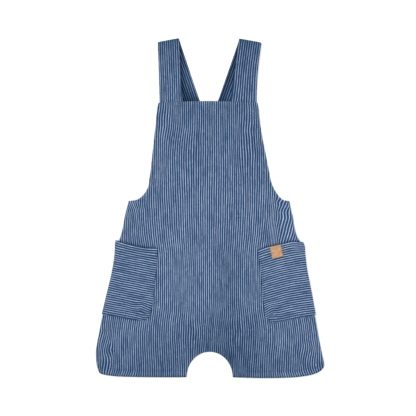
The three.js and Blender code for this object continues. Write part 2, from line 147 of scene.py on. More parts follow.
# Finer creases of the front, with the same columns
FINE_FOLDS = [
    (-166, -236, 84, 52, 4.5, 0.55), (-154, -242, 80, 46, 4.5, -0.6), (-140, -250, 74, 34, 5, 0.45),
    (-76, 138, 88, 62, 3.6, 0.5), (-68, 128, 86, 58, 3.6, -0.45), (-60, 140, 90, 46, 3.4, 0.35),
    (66, 134, 92, 60, 3.6, 0.5), (58, 120, 94, 64, 3.8, -0.45), (49, 138, 92, 46, 3.4, 0.3),
    (117, 2, 50, 22, 3.5, 0.5), (124, -2, 62, 26, 3.5, -0.5), (119, -30, 76, 44, 4, 0.5),
    (127, -34, 74, 40, 4, -0.45), (-120, 3, 128, 24, 3.5, -0.45), (-127, -24, 100, 40, 4, 0.4),
    (-96, -30, 84, 50, 6, 0.3), (14, -226, 35, 36, 5, -0.5), (-16, -226, 145, 36, 5, -0.5),
    (52, -248, 62, 36, 6, -0.6), (66, -250, 70, 34, 5, 0.5), (104, -252, 84, 30, 5, -0.5),
    (118, -250, 96, 34, 6, 0.5), (140, -246, 100, 32, 6, -0.4), (-56, -250, 96, 32, 6, -0.5),
    (-74, -248, 88, 34, 6, 0.45), (-96, -250, 82, 34, 5, -0.4), (-118, -252, 80, 28, 6, 0.4),
    (36, -104, 84, 90, 8, -0.5), (-40, -150, 92, 90, 9, 0.4), (58, -110, 96, 80, 8, 0.4),
    (-30, 40, 88, 100, 9, 0.35), (24, 56, 92, 90, 8, -0.35), (64, 30, 100, 70, 7, -0.35),
    (-66, 20, 82, 70, 8, 0.35),
]
# Creases of the back, all lifting off the surface that it lies on, with the same columns
BACK_FOLDS = [
    (-70, -60, 84, 120, 9, 0.5), (12, -80, 92, 150, 10, 0.6), (72, -70, 98, 110, 9, 0.5),
    (-92, -220, 70, 80, 9, 0.5), (90, -222, 112, 80, 9, 0.5), (40, -190, 60, 70, 8, 0.4),
    (-38, -196, 122, 70, 8, 0.4),
]

# Soft random reliefs, wavers of the stripes and breaks in a stitched line: amount, stretch of x and of y,
# cell, seed. They repeat after LATTICE cells, and start far enough in to have no negative cell.
LATTICE = 64
LATTICE_START = 300.0
FRONT_RUMPLES = [(0.32, 1, 1, 26, 3), (0.16, 1, 0.6, 11, 5), (0.16, 1, 0.22, 7, 8)]
HEM_PUCKERS = [(0.3, 1, 0.2, 5.5, 11)]
POCKET_RUMPLES = [(0.28, 0.5, 1, 14, 51), (0.14, 0.4, 1, 6, 52)]
BODY_WAVER = [(0.7, 0.7, 0.5, 42, 21), (0.3, 1, 0.8, 15, 22)]
BACK_WAVER = [(0.8, 1, 0.5, 40, 42)]
POCKET_WAVER = [(0.5, 0.5, 1, 30, 61), (0.2, 1, 1, 11, 62)]
HEM_STITCH_BREAKS = [(0.4, 1, 0.1, 4, 91)]
# Turned hem: height and width of its step, reach of its puckers, and how far up it the stitches' line shows,
# with the line's reach, its amount and its least share
HEM = {
    "step": 0.35, "step_width": 1.6, "pucker_reach": 7.0, "seen_share": 0.8, "line_reach": 1.3,
    "line_amount": 0.13, "line_least": 0.6,
}
# Painted shade at the hem's fold and painted light just above it: height above its fold, reach, amount
HEM_PAINTED_SHADING = [(0.0, 1.9, -0.34), (5.2, 2.6, 0.1)]

# Stripes to each of the cloth's own millimetres, up the body: they close up where it is eased in: y, share
GRAIN_DENSITY = np.array([
    (-271, 1.01), (-215, 1.02), (-150, 1.065), (-80, 1.055), (-40, 1.01), (0, 0.985), (40, 0.965),
    (100, 0.985), (170, 1.03),
])
# Turns of the grain, where the stripes lean or spread: x, y, reach x, reach y, degrees towards "/", spread
BODY_TURNS = [
    (60, 116, 19, 54, 2.5, 1.22), (-74, 142, 16, 34, 2, 1.14), (-30, 76, 16, 30, 0, 1.05),
    (121, -20, 20, 54, 6, 1.37), (112, 12, 9, 6, 20, 1.1), (-125, 3, 12, 9, -18, 0.97),
    (-92, -228, 64, 52, -4, 1.0), (92, -228, 64, 52, 5, 1.0),
    (-168, -214, 10, 22, 12, 0.95), (-167, -248, 11, 16, 8, 1.3), (156, -236, 16, 18, 10, 1.05),
    (6, -200, 34, 24, 0, 0.9),
]
# Waves of the stripes: x, y, reach x, reach y, length of a wave, amplitude, phase
BODY_WAVES = [
    (-52, 112, 34, 70, 140, 2.2, 3.14), (-78, 142, 18, 30, 44, 0.6, 1.2), (62, 105, 26, 76, 97, 1.2, 0.0),
    (70, 120, 14, 50, 26, 0.35, 0.8), (-158, -240, 14, 30, 46, 0.45, 0.4), (120, -236, 40, 30, 44, 0.4, 1.4),
    (-112, 0, 24, 26, 26, 0.5, 0.2), (121, -5, 17, 14, 34, 1.8, 1.57), (0, -190, 50, 30, 34, 0.6, 0.0),
]
# Closing up of the stripes towards the left edges: x where it starts, y, reach y, share
LEFT_PINCHES = [(-108, -16, 34, 0.14), (-70, 66, 42, 0.09)]
# Lean of the stripes in the turned hem, whose cloth is cut on the flare: x, degrees towards "/"
HEM_LEANS = np.array([
    (-178, 8), (-160, 9), (-146, 20), (-132, 22), (-114, 6), (-98, 0), (84, 0), (108, -10), (140, -19),
    (160, -20), (176, -10),
])

# Painted shade and painted light on the cloth, darker where it dips or turns from the light and lighter
# where it turns to it: x, y, reach x, reach y, amount
BODY_PAINTED_SHADING = [
    (-3, 168, 120, 34, -0.12), (0, 110, 120, 60, -0.07), (80, 112, 14, 50, -0.07), (29, -125, 20, 85, -0.19),
    (2, -206, 44, 32, -0.22), (0, -266, 400, 34, -0.24), (-62, -225, 34, 34, -0.1), (52, -222, 34, 42, -0.14),
    (126, -26, 20, 32, 0.2), (-121, -24, 14, 28, -0.09), (-60, -60, 60, 110, 0.08), (60, -40, 60, 80, 0.05),
    (-100, -190, 50, 20, 0.03), (118, -268, 46, 11, 0.22), (-138, -270, 18, 7, 0.14),
    (-42, -258, 14, 22, 0.14), (10, -228, 30, 12, -0.12), (34, -240, 9, 15, -0.17), (-92, -214, 26, 15, -0.1),
    (66, -205, 22, 44, -0.1), (-168, -195, 16, 34, -0.08), (0, -72, 22, 24, 0.08), (-90, -60, 14, 18, 0.08),
    (8, -136, 10, 12, 0.1), (12, -240, 22, 6, -0.14), (88, -264, 18, 8, -0.12), (0, 169, 22, 3, 0.14),
    (45, -215, 9, 14, 0.12), (125, 6, 7, 6, 0.24), (-128, 6, 6, 5, 0.22), (146, -52, 6, 9, 0.2),
    (20, 48, 18, 26, 0.06), (170, -235, 8, 34, 0.1),
]
# Painted light on the pockets, with the same columns
POCKET_PAINTED_LIGHT = [(-120, -120, 60, 60, 0.02), (120, -110, 60, 70, 0.07)]
# Painted shade towards the straps' shoulder folds and painted light along the right strap's outer edge, with
# the same columns
STRAP_PAINTED_SHADING = [
    (0, 270, 200, 26, -0.26), (0, 271, 200, 6, -0.14), (0, 236, 200, 30, -0.12), (0, 200, 200, 40, -0.04),
    (77, 185, 8, 24, 0.34), (83, 236, 6, 34, 0.3),
]

# Pockets. inner_edge: share of the height, x. bottom and mouth: x, y. bulges past the side fold: y, out.
# mouth_shade: reach and amount of the painted shadow above the mouth. slope of the stripes: x, rise there,
# change to each mm. turns: as the body's.
# tuck_turn: lean of the stripes beyond the tuck, their spread, and the x and y that they turn about.
POCKETS = {
    "pocket_left": {
        "side": -1,
        "back_reach": 58.0,
        "inner_edge": np.array([(0, -98.6), (0.08, -95.4), (0.33, -90.9), (0.7, -86.6), (1, -84.6)]),
        "bottom": np.array([(-175, -169.8), (-147, -173.5), (-126, -178.2), (-111, -179.6), (-98, -176.0)]),
        "mouth": np.array([(-152, -52.2), (-132, -58.2), (-118, -61.7), (-106, -63.9), (-84, -65.6)]),
        "bulges": np.array([(-110, 0.1), (-84, 0.4), (-70, 1.5), (-60, 3.0), (-52, 5.0)]),
        "lift": {"x": -122.0, "spread": 26.0, "ease": 24.0, "height": 2.6},
        "tuck": {"from": (-113.0, -163.5), "to": (-102.5, -172.0), "opens_at_start": True, "reach": 7.0},
        "tuck_turn": None,
        "mouth_shade": (3.4, 0.55),
        "slope": (-120.0, -0.203, 0.0),
        "turns": [(-102, -159, 10, 9, 14, 1.0), (-118, -157, 9, 8, -8, 1.0), (-104, -174, 9, 6, -10, 0.95)],
    },
    "pocket_right": {
        "side": 1,
        "back_reach": 58.0,
        "inner_edge": np.array([(0, 91.4), (0.08, 88.6), (0.33, 84.9), (0.7, 81.6), (1, 77.2)]),
        "bottom": np.array([(91, -178.4), (105, -181.2), (121, -178.6), (145, -174.0), (168, -170.4)]),
        "mouth": np.array([(77, -68.2), (92, -62.5), (113, -58.2), (135, -53.8), (150, -54.6)]),
        "bulges": np.array([(-122, 0.1), (-97, 0.6), (-71, 2.0), (-60, 3.4), (-52, 3.4)]),
        "lift": {"x": 116.0, "spread": 26.0, "ease": 24.0, "height": 1.8},
        "tuck": {"from": (92.6, -177.0), "to": (107.0, -160.0), "opens_at_start": False, "reach": 14.0},
        "tuck_turn": (85.0, 0.92, 112.0, -168.0),
        "mouth_shade": (2.4, 0.42),
        "slope": (115.0, 0.25, -0.0026),
        "turns": [(92, -167, 13, 13, -13, 1.0)],
    },
}
POCKET_HEIGHT = 118.0
POCKET_LIFT = CLOTH + LAYER_GAP
# How far below a pocket's mouth its stripes follow the mouth, and its share of the front's fine relief
POCKET_MOUTH_REACH = 13.0
POCKET_FOLLOWS = 0.7
# Folds along a tuck: distance beyond its line, length as a share of it, width, height
POCKET_PULLS = [(0, 1.1, 1.8, -0.8), (-3.6, 1, 2.8, 0.5), (4.0, 1, 2.8, 0.3)]
# Folds across a pocket: x outwards and y from the tuck's middle, degrees, length, width, height
POCKET_SAGS = [(24, 38, 5, 60, 7, 0.35), (20, 64, 6, 70, 8, -0.3), (20, 88, 7, 60, 7, 0.35)]
POCKET_ZONE = {"bottom_y": -186.0, "top_y": -46.0, "ease": 16.0, "reach": 64.0}
# Rim of a pocket: its size across and up and the ease of its relief there, then how far its sewn edges sink
POCKET_RIM = {"across": 70.0, "up": 120.0, "ease": 5.0, "fold_share": 8.0, "sink_ease": 2.5, "sink": 0.35}
# Painted shadow lines on the front under and beside a pocket: reach, amount, and the share of the height
# where the one beside grows deeper, by how much and over what share
POCKET_PAINTED_SHADOWS = {
    "below_reach": 1.5, "below": 0.1, "beside_reach": 1.6, "beside": 0.2, "deeper_from": 0.82,
    "deeper": 0.35, "deeper_over": 0.1,
}
# Painted shade along a tuck, and a painted highlight along a mouth's lip with its distance below the edge:
# amount, reach
TUCK_PAINTED_SHADE = {"amount": 0.3, "reach": 1.4}
MOUTH_PAINTED_HIGHLIGHT = {"amount": 0.22, "reach": 1.3, "below": 1.2}

# Straps: ends of the shoulder fold and of the front run, the back run's slope and heights (y, z), the front
# run's painted shading, and the painted shade of the back run where the front run shades it: at the bib,
# higher up, then its free edge's gain (painted light where above 0, painted shade below), strongest at a
# height above the bib and fading away from it over a reach
STRAP_ROLL = 2.2
STRAP_TOP_Z = STRAP_CLOTH / 2 + 2 * STRAP_ROLL
STRAP_END_V = 155.0
STRAP_RISE = 62.0
STRAP_BACK_END_Y = 2.0
STRAP_WIDTH = 34.0
# Width of the stripes' pattern from the shoulder on, and at the front end
STRAP_GRAIN_WIDTHS = (34.5, 36.5)
STRAPS = {
    "strap_left": {
        "fold_a": (-83.4, 266.0), "fold_b": (-49.7, 272.2), "front_a": (-80.4, 168.0),
        "front_b": (-44.4, 170.3), "front_bow": 0.3, "back_slope": -0.3366,
        "back_heights": np.array([(2, 2.4), (16, 2.4), (24, 0.8), (272, 0.8)]),
        "painted_shading": 0.97, "back_painted_shades": (0.23, 0.38, 1.7, 28.0, 26.0), "seed": 71,
    },
    "strap_right": {
        "fold_a": (82.0, 265.2), "fold_b": (46.8, 271.6), "front_a": (74.3, 168.4),
        "front_b": (32.4, 169.4), "front_bow": -2.0, "back_slope": 0.3474,
        "back_heights": np.array([
            (2, 2.6), (14, 3.0), (26, 3.3), (60, 2.9), (136, 2.9), (168, 0.8), (272, 0.8),
        ]),
        "painted_shading": 0.92, "back_painted_shades": (0.66, 0.8, -0.62, 50.0, 300.0), "seed": 75,
    },
}

# Leather tab on the right pocket's mouth
LABEL = {"x": 104.2, "top": -60.4, "width": 17.4, "height": 19.2, "turn": 12.0, "thick": 1.3, "seam": 1.7}

# Distances of the stitches from the edges that they hold, and on the straps their share of the width
BIB_TOP_SEAM = 7.0
ARMHOLE_SEAM = 4.5
POCKET_SEAM = 2.4
STRAP_SEAM_SHARE = 0.075

# Noises of the linen: stretch across and along the grain, start, detail, roughness
LINEN_NOISES = {
    "waver": (0.05, 0.06, 4.0, 1.0, 0.5), "weave": (2.6, 2.6, 0.0, 1.0, 0.5),
    "weft": (0.1, 1.1, 2.0, 2.0, 0.6), "warp": (1.6, 0.09, 7.0, 2.0, 0.6),
    "strength": (3.7, 0.03, 1.0, 3.0, 0.65), "swelling": (5.3, 0.14, 9.0, 2.0, 0.5),
    "slub": (9.1, 0.11, 5.0, 1.0, 0.5), "fleck": (7.7, 0.26, 3.0, 1.0, 0.5),
}

# Camera: the photograph's frame and its middle, at the garment's own scale
FRAME_PIXELS = 416.0
MM_PER_PIXEL = 1.6
GARMENT_MIDDLE_PIXEL = (210.05, 207.95)
# Studio, in metres: the table's reach and top, then each light's place and size
FLOOR_REACH = 3.0
FLOOR_Z = -0.2 * MM
KEY_LIGHT = ((-1.4, 1.3, 2.5), 2.4)
FILL_LIGHT = ((1.3, -0.9, 1.5), 1.4)
WHITE = (1.0, 1.0, 1.0, 1.0)


def ease(value):
    """Smooth step: 0 below 0, 1 above 1, with level ends."""
    share = np.clip(value, 0.0, 1.0)
    return share * share * (3.0 - 2.0 * share)


def mix(start, end, share):
    """Straight blend from start to end."""
    return start + (end - start) * share


def bell(off, reach, power=2):
    """Soft hill: 1 where off is 0 and 0.37 where it equals the reach, flatter on top for power 4."""
    return np.exp(-((off / reach) ** power))


def xyz(x, y, z):
    """Points from their three coordinates."""
    return np.stack([x, y, z], -1)


def unit(vectors):
    """The same directions with length 1."""
    return vectors / np.maximum(np.linalg.norm(vectors, axis=-1, keepdims=True), 1e-9)


def cloth_settings():
    """The cloth's sizes and colours as the panel holds them."""
    return bpy.context.scene.shortalls_cloth


def along(table, value, column=1):
    """Cubic curve through a table's rows, read at value of column 0 and held level past its ends.

    Between two rows it is the Hermite cubic whose end slopes are the harmonic means of the neighbouring
    chords, or 0 where those chords turn back, so the curve never overshoots a row.
    """
    at, to = table[:, 0].astype(float), table[:, column].astype(float)
    chord = np.diff(to) / np.diff(at)
    product = chord[:-1] * chord[1:]
    inner = np.where(product <= 0, 0.0, 2 * product / (chord[:-1] + chord[1:] + 1e-30))
    slope = np.concatenate([chord[:1], inner, chord[-1:]])
    value = np.clip(np.asarray(value, dtype=float), at[0], at[-1])
    row = np.clip(np.searchsorted(at, value, side="right") - 1, 0, len(at) - 2)
    span = at[row + 1] - at[row]
    t = (value - at[row]) / span
    start = to[row] * (1 + 2 * t) * (1 - t) ** 2 + slope[row] * span * t * (1 - t) ** 2
    end = to[row + 1] * t**2 * (3 - 2 * t) + slope[row + 1] * span * t**2 * (t - 1)
    return start + end


def rumple(x, y, cell, seed):
    """Soft random relief from -1 to 1: values on a lattice of that cell size, blended with smooth steps."""
    lattice = np.random.default_rng(seed).uniform(-1.0, 1.0, (LATTICE, LATTICE))
    place_x, place_y = np.asarray(x) / cell + LATTICE_START, np.asarray(y) / cell + LATTICE_START
    i, j = np.floor(place_x).astype(int), np.floor(place_y).astype(int)
    left, right, low, high = i % LATTICE, (i + 1) % LATTICE, j % LATTICE, (j + 1) % LATTICE
    share_x, share_y = ease(place_x - i), ease(place_y - j)
    bottom = mix(lattice[left, low], lattice[right, low], share_x)
    top = mix(lattice[left, high], lattice[right, high], share_x)
    return mix(bottom, top, share_y)


def rumples(table, x, y):
    """Sum of a table's soft random reliefs."""
    return sum(amount * rumple(x * by_x, y * by_y, cell, seed) for amount, by_x, by_y, cell, seed in table)


def folds_z(folds, x, y):
    """Sum of soft folds: each is a bell across its line, cut off by a flat-topped bell along it."""
    height = np.zeros(np.broadcast(x, y).shape)
    for fold_x, fold_y, degrees, length, width, rise in folds:
        turn = math.radians(degrees)
        run = (x - fold_x) * math.cos(turn) + (y - fold_y) * math.sin(turn)
        off = (y - fold_y) * math.cos(turn) - (x - fold_x) * math.sin(turn)
        height += rise * bell(off, width) * bell(run, length / 2, 4)
    return height


def arch_top_y(x):
    """Height of the arch's edge at x: the upper half of an ellipse standing on the hem."""
    across = np.minimum(1.0, np.abs(x - ARCH["x"]) / ARCH["half_width"])
    return HEM_V + ARCH["height"] * np.sqrt(1.0 - across**2)


ARCH_SHOULDER_V = float(arch_top_y(ARCH["x"] + ARCH["crown_half"]))


def arch_distance(x, y):
    """Distance outside the arch's ellipse, on the scale of its half width."""
    reach = np.hypot((x - ARCH["x"]) / ARCH["half_width"], (y - HEM_V) / ARCH["height"])
    return (reach - 1) * ARCH["half_width"]


def band_half(v):
    """Half width of the middle band of columns: the arch's own below its shoulder, level above it."""
    rise = np.clip((v - HEM_V) / ARCH["height"], 0.0, 1.0)
    arch = ARCH["half_width"] * np.sqrt(1.0 - rise**2)
    return np.where(v >= ARCH_SHOULDER_V - LEVEL, ARCH["crown_half"], arch)


def plan_y(x, v):
    """Plan height of a row: v plus the hem's rise, the bib's bow and the arch's crown, each fading with v."""
    hem = along(HEM_RISES, x) * (1 - ease((v - HEM_V) / HEM_EASE))
    across = (x - ARCH["x"]) / BIB_BOW["half_width"]
    near_top = ease((v - BIB_TOP_V + BIB_BOW["ease"]) / BIB_BOW["ease"])
    bow = (BIB_BOW["rise"] - BIB_BOW["fall"] * across**2) * near_top
    crown = (arch_top_y(x) - ARCH_SHOULDER_V) * (1 - ease((v - ARCH_SHOULDER_V) / ARCH["ease"]))
    above = (np.abs(x - ARCH["x"]) < ARCH["crown_half"]) & (v >= ARCH_SHOULDER_V - LEVEL)
    return v + hem + bow + np.where(above, crown, 0.0)


def side_fold(side, v):
    """x of the side fold at height v; side is -1 for the left and 1 for the right."""
    return np.where(np.asarray(side) < 0, along(SIDE_FOLDS, v, 1), along(SIDE_FOLDS, v, 2))


def top_edge(side, v):
    """x of the edge of the front's upper face: the bib's free edge, or the start of the side fold."""
    bib = np.where(np.asarray(side) < 0, along(BIB_EDGES, v, 1), along(BIB_EDGES, v, 2))
    return np.where(v > ARMHOLE_V + LEVEL, bib, side_fold(side, v) - side * SIDE_RADIUS)


def side_of(x):
    """-1 left of the garment's middle, 1 right of it."""
    return np.where(x < ARCH["x"], -1.0, 1.0)


def inside_edge(x, y):
    """Distance of a point inside the nearer edge of the front's upper face."""
    side = side_of(x)
    return np.maximum(0.0, (top_edge(side, y) - x) * side)


def under_z(x, y):
    """Height of the body's underside: 0, or the pocket's thickness where one lies beneath."""
    side = side_of(x)
    inward = (side_fold(side, y) - x) * side
    across = 1 - ease((inward - POCKET_ZONE["reach"]) / POCKET_ZONE["ease"])
    up = ease((y - POCKET_ZONE["bottom_y"] + POCKET_ZONE["ease"]) / POCKET_ZONE["ease"])
    down = 1 - ease((y - POCKET_ZONE["top_y"]) / POCKET_ZONE["ease"])
    return POCKET_LIFT * across * up * down


def front_z(x, y):
    """Upper face of the front as in the solids: from the nearer edge's height to the middle's, plus folds."""
    inward = inside_edge(x, y)
    is_bib = y > ARMHOLE_V
    side_rim = under_z(top_edge(side_of(x), y), y) + 2 * SIDE_RADIUS
    rim = np.where(is_bib, along(BIB_EDGE_HEIGHTS, y), side_rim)
    flat = mix(rim, along(CROWNS, y), ease(inward / np.where(is_bib, BIB_EDGE_EASE, SIDE_EASE)))
    opened = flat + folds_z(MAIN_FOLDS, x, y) * ease(inward / FOLD_EDGE_EASE)
    return mix(ARCH["edge_z"], opened, ease(arch_distance(x, y) / ARCH["roll_down"]))


def hem_distance(x, y):
    """Distance of a point above the leg's hem line."""
    return y - (HEM_V + along(HEM_RISES, x))


def front_detail_z(x, y):
    """Finer relief of the front: creases, rumples, the turned hem and its puckers, eased out at edges."""
    cloth = cloth_settings()
    above = hem_distance(x, y) - cloth.hem_depth
    creases = folds_z(FINE_FOLDS, x, y) * cloth.crease_strength
    soft = rumples(FRONT_RUMPLES, x, y) * cloth.rumple_strength
    puckers = bell(above, HEM["pucker_reach"]) * rumples(HEM_PUCKERS, x, y)
    turned = HEM["step"] * (1 - ease(above / HEM["step_width"] + 0.5))
    edge_share = ease(inside_edge(x, y) / DETAIL_EDGE_EASE) * ease(arch_distance(x, y) / DETAIL_ARCH_EASE)
    return (creases + soft + puckers + turned) * edge_share


def cloth_top_z(x, y):
    """Upper face of the finished front."""
    return front_z(x, y) + front_detail_z(x, y)


def turn_grain(across, x, y, bearing, turns):
    """Pattern coordinate with its local turns.

    The bearing is the stripes' lean from upright. Inside a turn's window the coordinate gains the difference
    between the leaning, spread pattern and the plain one, measured from the window's middle.
    """
    plain = math.radians(bearing)
    for turn_x, turn_y, reach_x, reach_y, degrees, spread in turns:
        window = bell(x - turn_x, reach_x, 4) * bell(y - turn_y, reach_y, 4)
        lean = math.radians(bearing + degrees)
        change_x = math.cos(lean) / spread - math.cos(plain)
        change_y = math.sin(plain) - math.sin(lean) / spread
        across = across + window * (change_x * (x - turn_x) + change_y * (y - turn_y))
    return across


def body_grain(x, y):
    """Pattern coordinate across the body's stripes: x by the local density, then waves, turns and pinches."""
    across = (x - ARCH["x"]) * along(GRAIN_DENSITY, y) + rumples(BODY_WAVER, x, y)
    for wave_x, wave_y, reach_x, reach_y, length, amplitude, phase in BODY_WAVES:
        window = bell(x - wave_x, reach_x) * bell(y - wave_y, reach_y)
        across = across + window * amplitude * np.sin(2 * math.pi * (y - wave_y) / length + phase)
    across = turn_grain(across, x, y, 0.0, BODY_TURNS)
    for start_x, pinch_y, reach, share in LEFT_PINCHES:
        across = across + share * bell(y - pinch_y, reach, 4) * np.minimum(0.0, x - start_x)
    below = np.minimum(0.0, hem_distance(x, y) - HEM["seen_share"] * cloth_settings().hem_depth)
    return across - np.tan(np.radians(along(HEM_LEANS, x))) * below


def pocket_plain(pocket, x, y):
    """Pattern coordinate of a pocket before any wave or turn: height above a stripe curved by its slope.

    The slope is its value at the reference x plus its change for each millimetre from there.
    """
    middle, slope, change = pocket["slope"]
    off = x - middle
    return (slope * off + change * off * off / 2 - y) * math.cos(math.atan(slope))


def pocket_grain(pocket, x, y):
    """Pattern coordinate across a pocket's stripes: sloped, along the mouth near it, turned and tucked."""
    middle, slope, change = pocket["slope"]
    mouth, off = along(pocket["mouth"], x), x - middle
    near_mouth = bell(np.maximum(0.0, mouth - y), POCKET_MOUTH_REACH)
    follow = mouth - along(pocket["mouth"], middle) - slope * off - change * off * off / 2
    across = pocket_plain(pocket, x, y) + near_mouth * follow + rumples(POCKET_WAVER, x, y)
    across = turn_grain(across, x, y, 90 - math.degrees(math.atan(slope)), pocket["turns"])
    if pocket["tuck_turn"] is None:
        return across
    degrees, spread, pivot_x, pivot_y = pocket["tuck_turn"]
    lean = math.radians(degrees)
    own = ((x - pivot_x) * math.cos(lean) - (y - pivot_y) * math.sin(lean)) / spread
    _, share = tuck_line(pocket["tuck"], x, y)
    return mix(across, pocket_plain(pocket, pivot_x, pivot_y) + own, share)


def tuck_line(tuck, x, y):
    """Distance beyond a tuck's line, right of its run, and the share of the cloth that it turns."""
    (start_x, start_y), (end_x, end_y) = tuck["from"], tuck["to"]
    length = math.hypot(end_x - start_x, end_y - start_y)
    run_x, run_y = (end_x - start_x) / length, (end_y - start_y) / length
    beyond = (x - start_x) * run_y - (y - start_y) * run_x
    at = ((x - start_x) * run_x + (y - start_y) * run_y) / length
    window = ease(at / 0.4 + 0.4) if tuck["opens_at_start"] else ease((1 - at) / 0.3 + 0.4)
    return beyond, ease(beyond / 1.2 + 0.5) * bell(np.maximum(beyond, 0), tuck["reach"]) * window


def painted_shading_at(tones, x, y):
    """Painted shade and light of the cloth: 1, more or less a few soft elliptical bells."""
    painted_shading = np.ones(np.broadcast(x, y).shape)
    for tone_x, tone_y, reach_x, reach_y, amount in tones:
        painted_shading = painted_shading + amount * bell(x - tone_x, reach_x) * bell(y - tone_y, reach_y)
    return painted_shading


def pocket_shade(x, y):
    """Painted shadow on the front by the pockets: thin dark lines above the mouths and along the edges."""
    lines = POCKET_PAINTED_SHADOWS
    shade = np.ones(np.broadcast(x, y).shape)
    for pocket in POCKETS.values():
        side, (mouth_reach, mouth_amount) = pocket["side"], pocket["mouth_shade"]
        mouth, bottom = along(pocket["mouth"], x), along(pocket["bottom"], x)
        share = np.clip((y - bottom) / (mouth - bottom), 0, 1)
        inner = along(pocket["inner_edge"], share)
        inside = ease((x - inner) * side / 2 + 1)
        above = np.where(y > mouth - 1, bell(y - mouth, mouth_reach), 0) * inside
        below = np.where(y < bottom + 1, bell(y - bottom, lines["below_reach"]), 0) * inside
        level = ease((y - bottom) / 3) * ease((mouth - y) / 3)
        beside = np.where((inner - x) * side > -1, bell(x - inner, lines["beside_reach"]), 0) * level
        high = ease((share - lines["deeper_from"]) / lines["deeper_over"])
        depth = lines["beside"] + lines["deeper"] * high
        shade = shade * (1 - mouth_amount * above) * (1 - lines["below"] * below) * (1 - depth * beside)
    return shade


def hem_shade(x, y):
    """Tone of the turned hem: its painted shade and light, and a broken dark line at its stitches."""
    hem = hem_distance(x, y)
    line = bell(hem - HEM["seen_share"] * cloth_settings().hem_depth, HEM["line_reach"])
    shade = 1 - HEM["line_amount"] * line * (HEM["line_least"] + rumples(HEM_STITCH_BREAKS, x, y))
    for height, reach, amount in HEM_PAINTED_SHADING:
        shade = shade * (1 + amount * bell(hem - height, reach))
    return shade


def wall_mesh(name, outer, inner, grain, cells, painted_shading, inner_painted_shading=None):
    """Closed cloth wall from two matching grids of points.

    The outer and inner faces take the cells that are marked as cloth. Round every open edge runs a middle
    row, halfway between both faces and pushed out a little, which gives the edge a rounded turn. Each point
    carries its painted shade and light; the edge and the inner face take their own where they are given.
    """
    rows, columns = cells.shape
    count = (rows + 1) * (columns + 1)
    index = np.arange(count).reshape(rows + 1, columns + 1)
    a, b, c, d = index[:-1, :-1], index[:-1, 1:], index[1:, 1:], index[1:, :-1]
    quads = [np.stack([a, b, c, d], -1)[cells], np.stack([a, d, c, b], -1)[cells] + count]
    centre = (outer[:-1, :-1] + outer[:-1, 1:] + outer[1:, 1:] + outer[1:, :-1]) / 4
    outer_points, inner_points = outer.reshape(-1, 3), inner.reshape(-1, 3)
    outward = np.zeros((count, 3))
    padded = np.pad(cells, 1)
    below, right, above, left = padded[:-2, 1:-1], padded[1:-1, 2:], padded[2:, 1:-1], padded[1:-1, :-2]
    for start, end, neighbour in ((b, a, below), (c, b, right), (d, c, above), (a, d, left)):
        is_rim = cells & ~neighbour
        s, e = start[is_rim], end[is_rim]
        push = (outer_points[s] + outer_points[e]) / 2 - centre[is_rim]
        run = unit(outer_points[e] - outer_points[s])
        push = unit(push - run * (push * run).sum(1, keepdims=True))
        np.add.at(outward, s, push)
        np.add.at(outward, e, push)
        quads.append(np.stack([s, e, e + 2 * count, s + 2 * count], -1))
        quads.append(np.stack([s + 2 * count, e + 2 * count, e + count, s + count], -1))
    thickness = np.linalg.norm(outer_points - inner_points, axis=1, keepdims=True)
    middle = (outer_points + inner_points) / 2 + unit(outward) * thickness * RIM_PUSH
    used, faces = np.unique(np.concatenate(quads), return_inverse=True)
    faces = faces.reshape(-1, 4)
    points = np.concatenate([outer_points, inner_points, middle])[used] * MM
    corner = points[faces]
    normal = np.cross(corner[:, 1] - corner[:, 0], corner[:, 2] - corner[:, 0])
    normal += np.cross(corner[:, 2] - corner[:, 0], corner[:, 3] - corner[:, 0])
    if (normal * corner.mean(1)).sum() < 0:
        faces = faces[:, ::-1]
    made = mesh_object(name, points, faces.tolist(), np.tile(grain.reshape(-1, 2), (3, 1))[used])
    inner_painted_shading = painted_shading if inner_painted_shading is None else inner_painted_shading
    shades = np.concatenate([painted_shading.reshape(-1), np.tile(inner_painted_shading.reshape(-1), 2)])[used].astype(np.float32)
    # Painted shade and light, kept on the points for the linen's colour
    made.data.attributes.new("painted_shading", "FLOAT", "POINT").data.foreach_set("value", shades)
    return made


def mesh_object(name, points, faces, uv=None):
    """New smooth-shaded object from points and faces, with a UV map of the cloth's grain in mm."""
    mesh = bpy.data.meshes.new(name)
    mesh.from_pydata(points.tolist(), [], faces)
    if uv is not None:
        loops = np.empty(len(mesh.loops), dtype=np.int32)
        mesh.loops.foreach_get("vertex_index", loops)
        mesh.uv_layers.new(name="grain").uv.foreach_set("vector", uv[loops].astype(np.float32).ravel())
    mesh.polygons.foreach_set("use_smooth", np.ones(len(mesh.polygons), dtype=bool))
    mesh.update()
    made = bpy.data.objects.new(name, mesh)
    bpy.context.scene.collection.objects.link(made)
    return made


def all_cells(grid):
    """Marks of a grid's cells, all of them cloth."""
    return np.ones((grid.shape[0] - 1, grid.shape[1] - 1), dtype=bool)


def arithmetic(operation, turned=False):
    """Python operator that adds one Math node; turned takes its two values the other way round."""
    if turned:
        return lambda self, other: self.shader.math(operation, other, self)
    return lambda self, other: self.shader.math(operation, self, other)


class Value:
    """One output socket, so that shader maths reads as plain Python."""

    def __init__(self, shader, socket):
        self.shader = shader
        self.socket = socket

    __add__ = __radd__ = arithmetic("ADD")
    __sub__ = arithmetic("SUBTRACT")
    __rsub__ = arithmetic("SUBTRACT", turned=True)
    __mul__ = __rmul__ = arithmetic("MULTIPLY")
    __truediv__ = arithmetic("DIVIDE")
    __pow__ = arithmetic("POWER")

    def __abs__(self):
        return self.shader.math("ABSOLUTE", self)


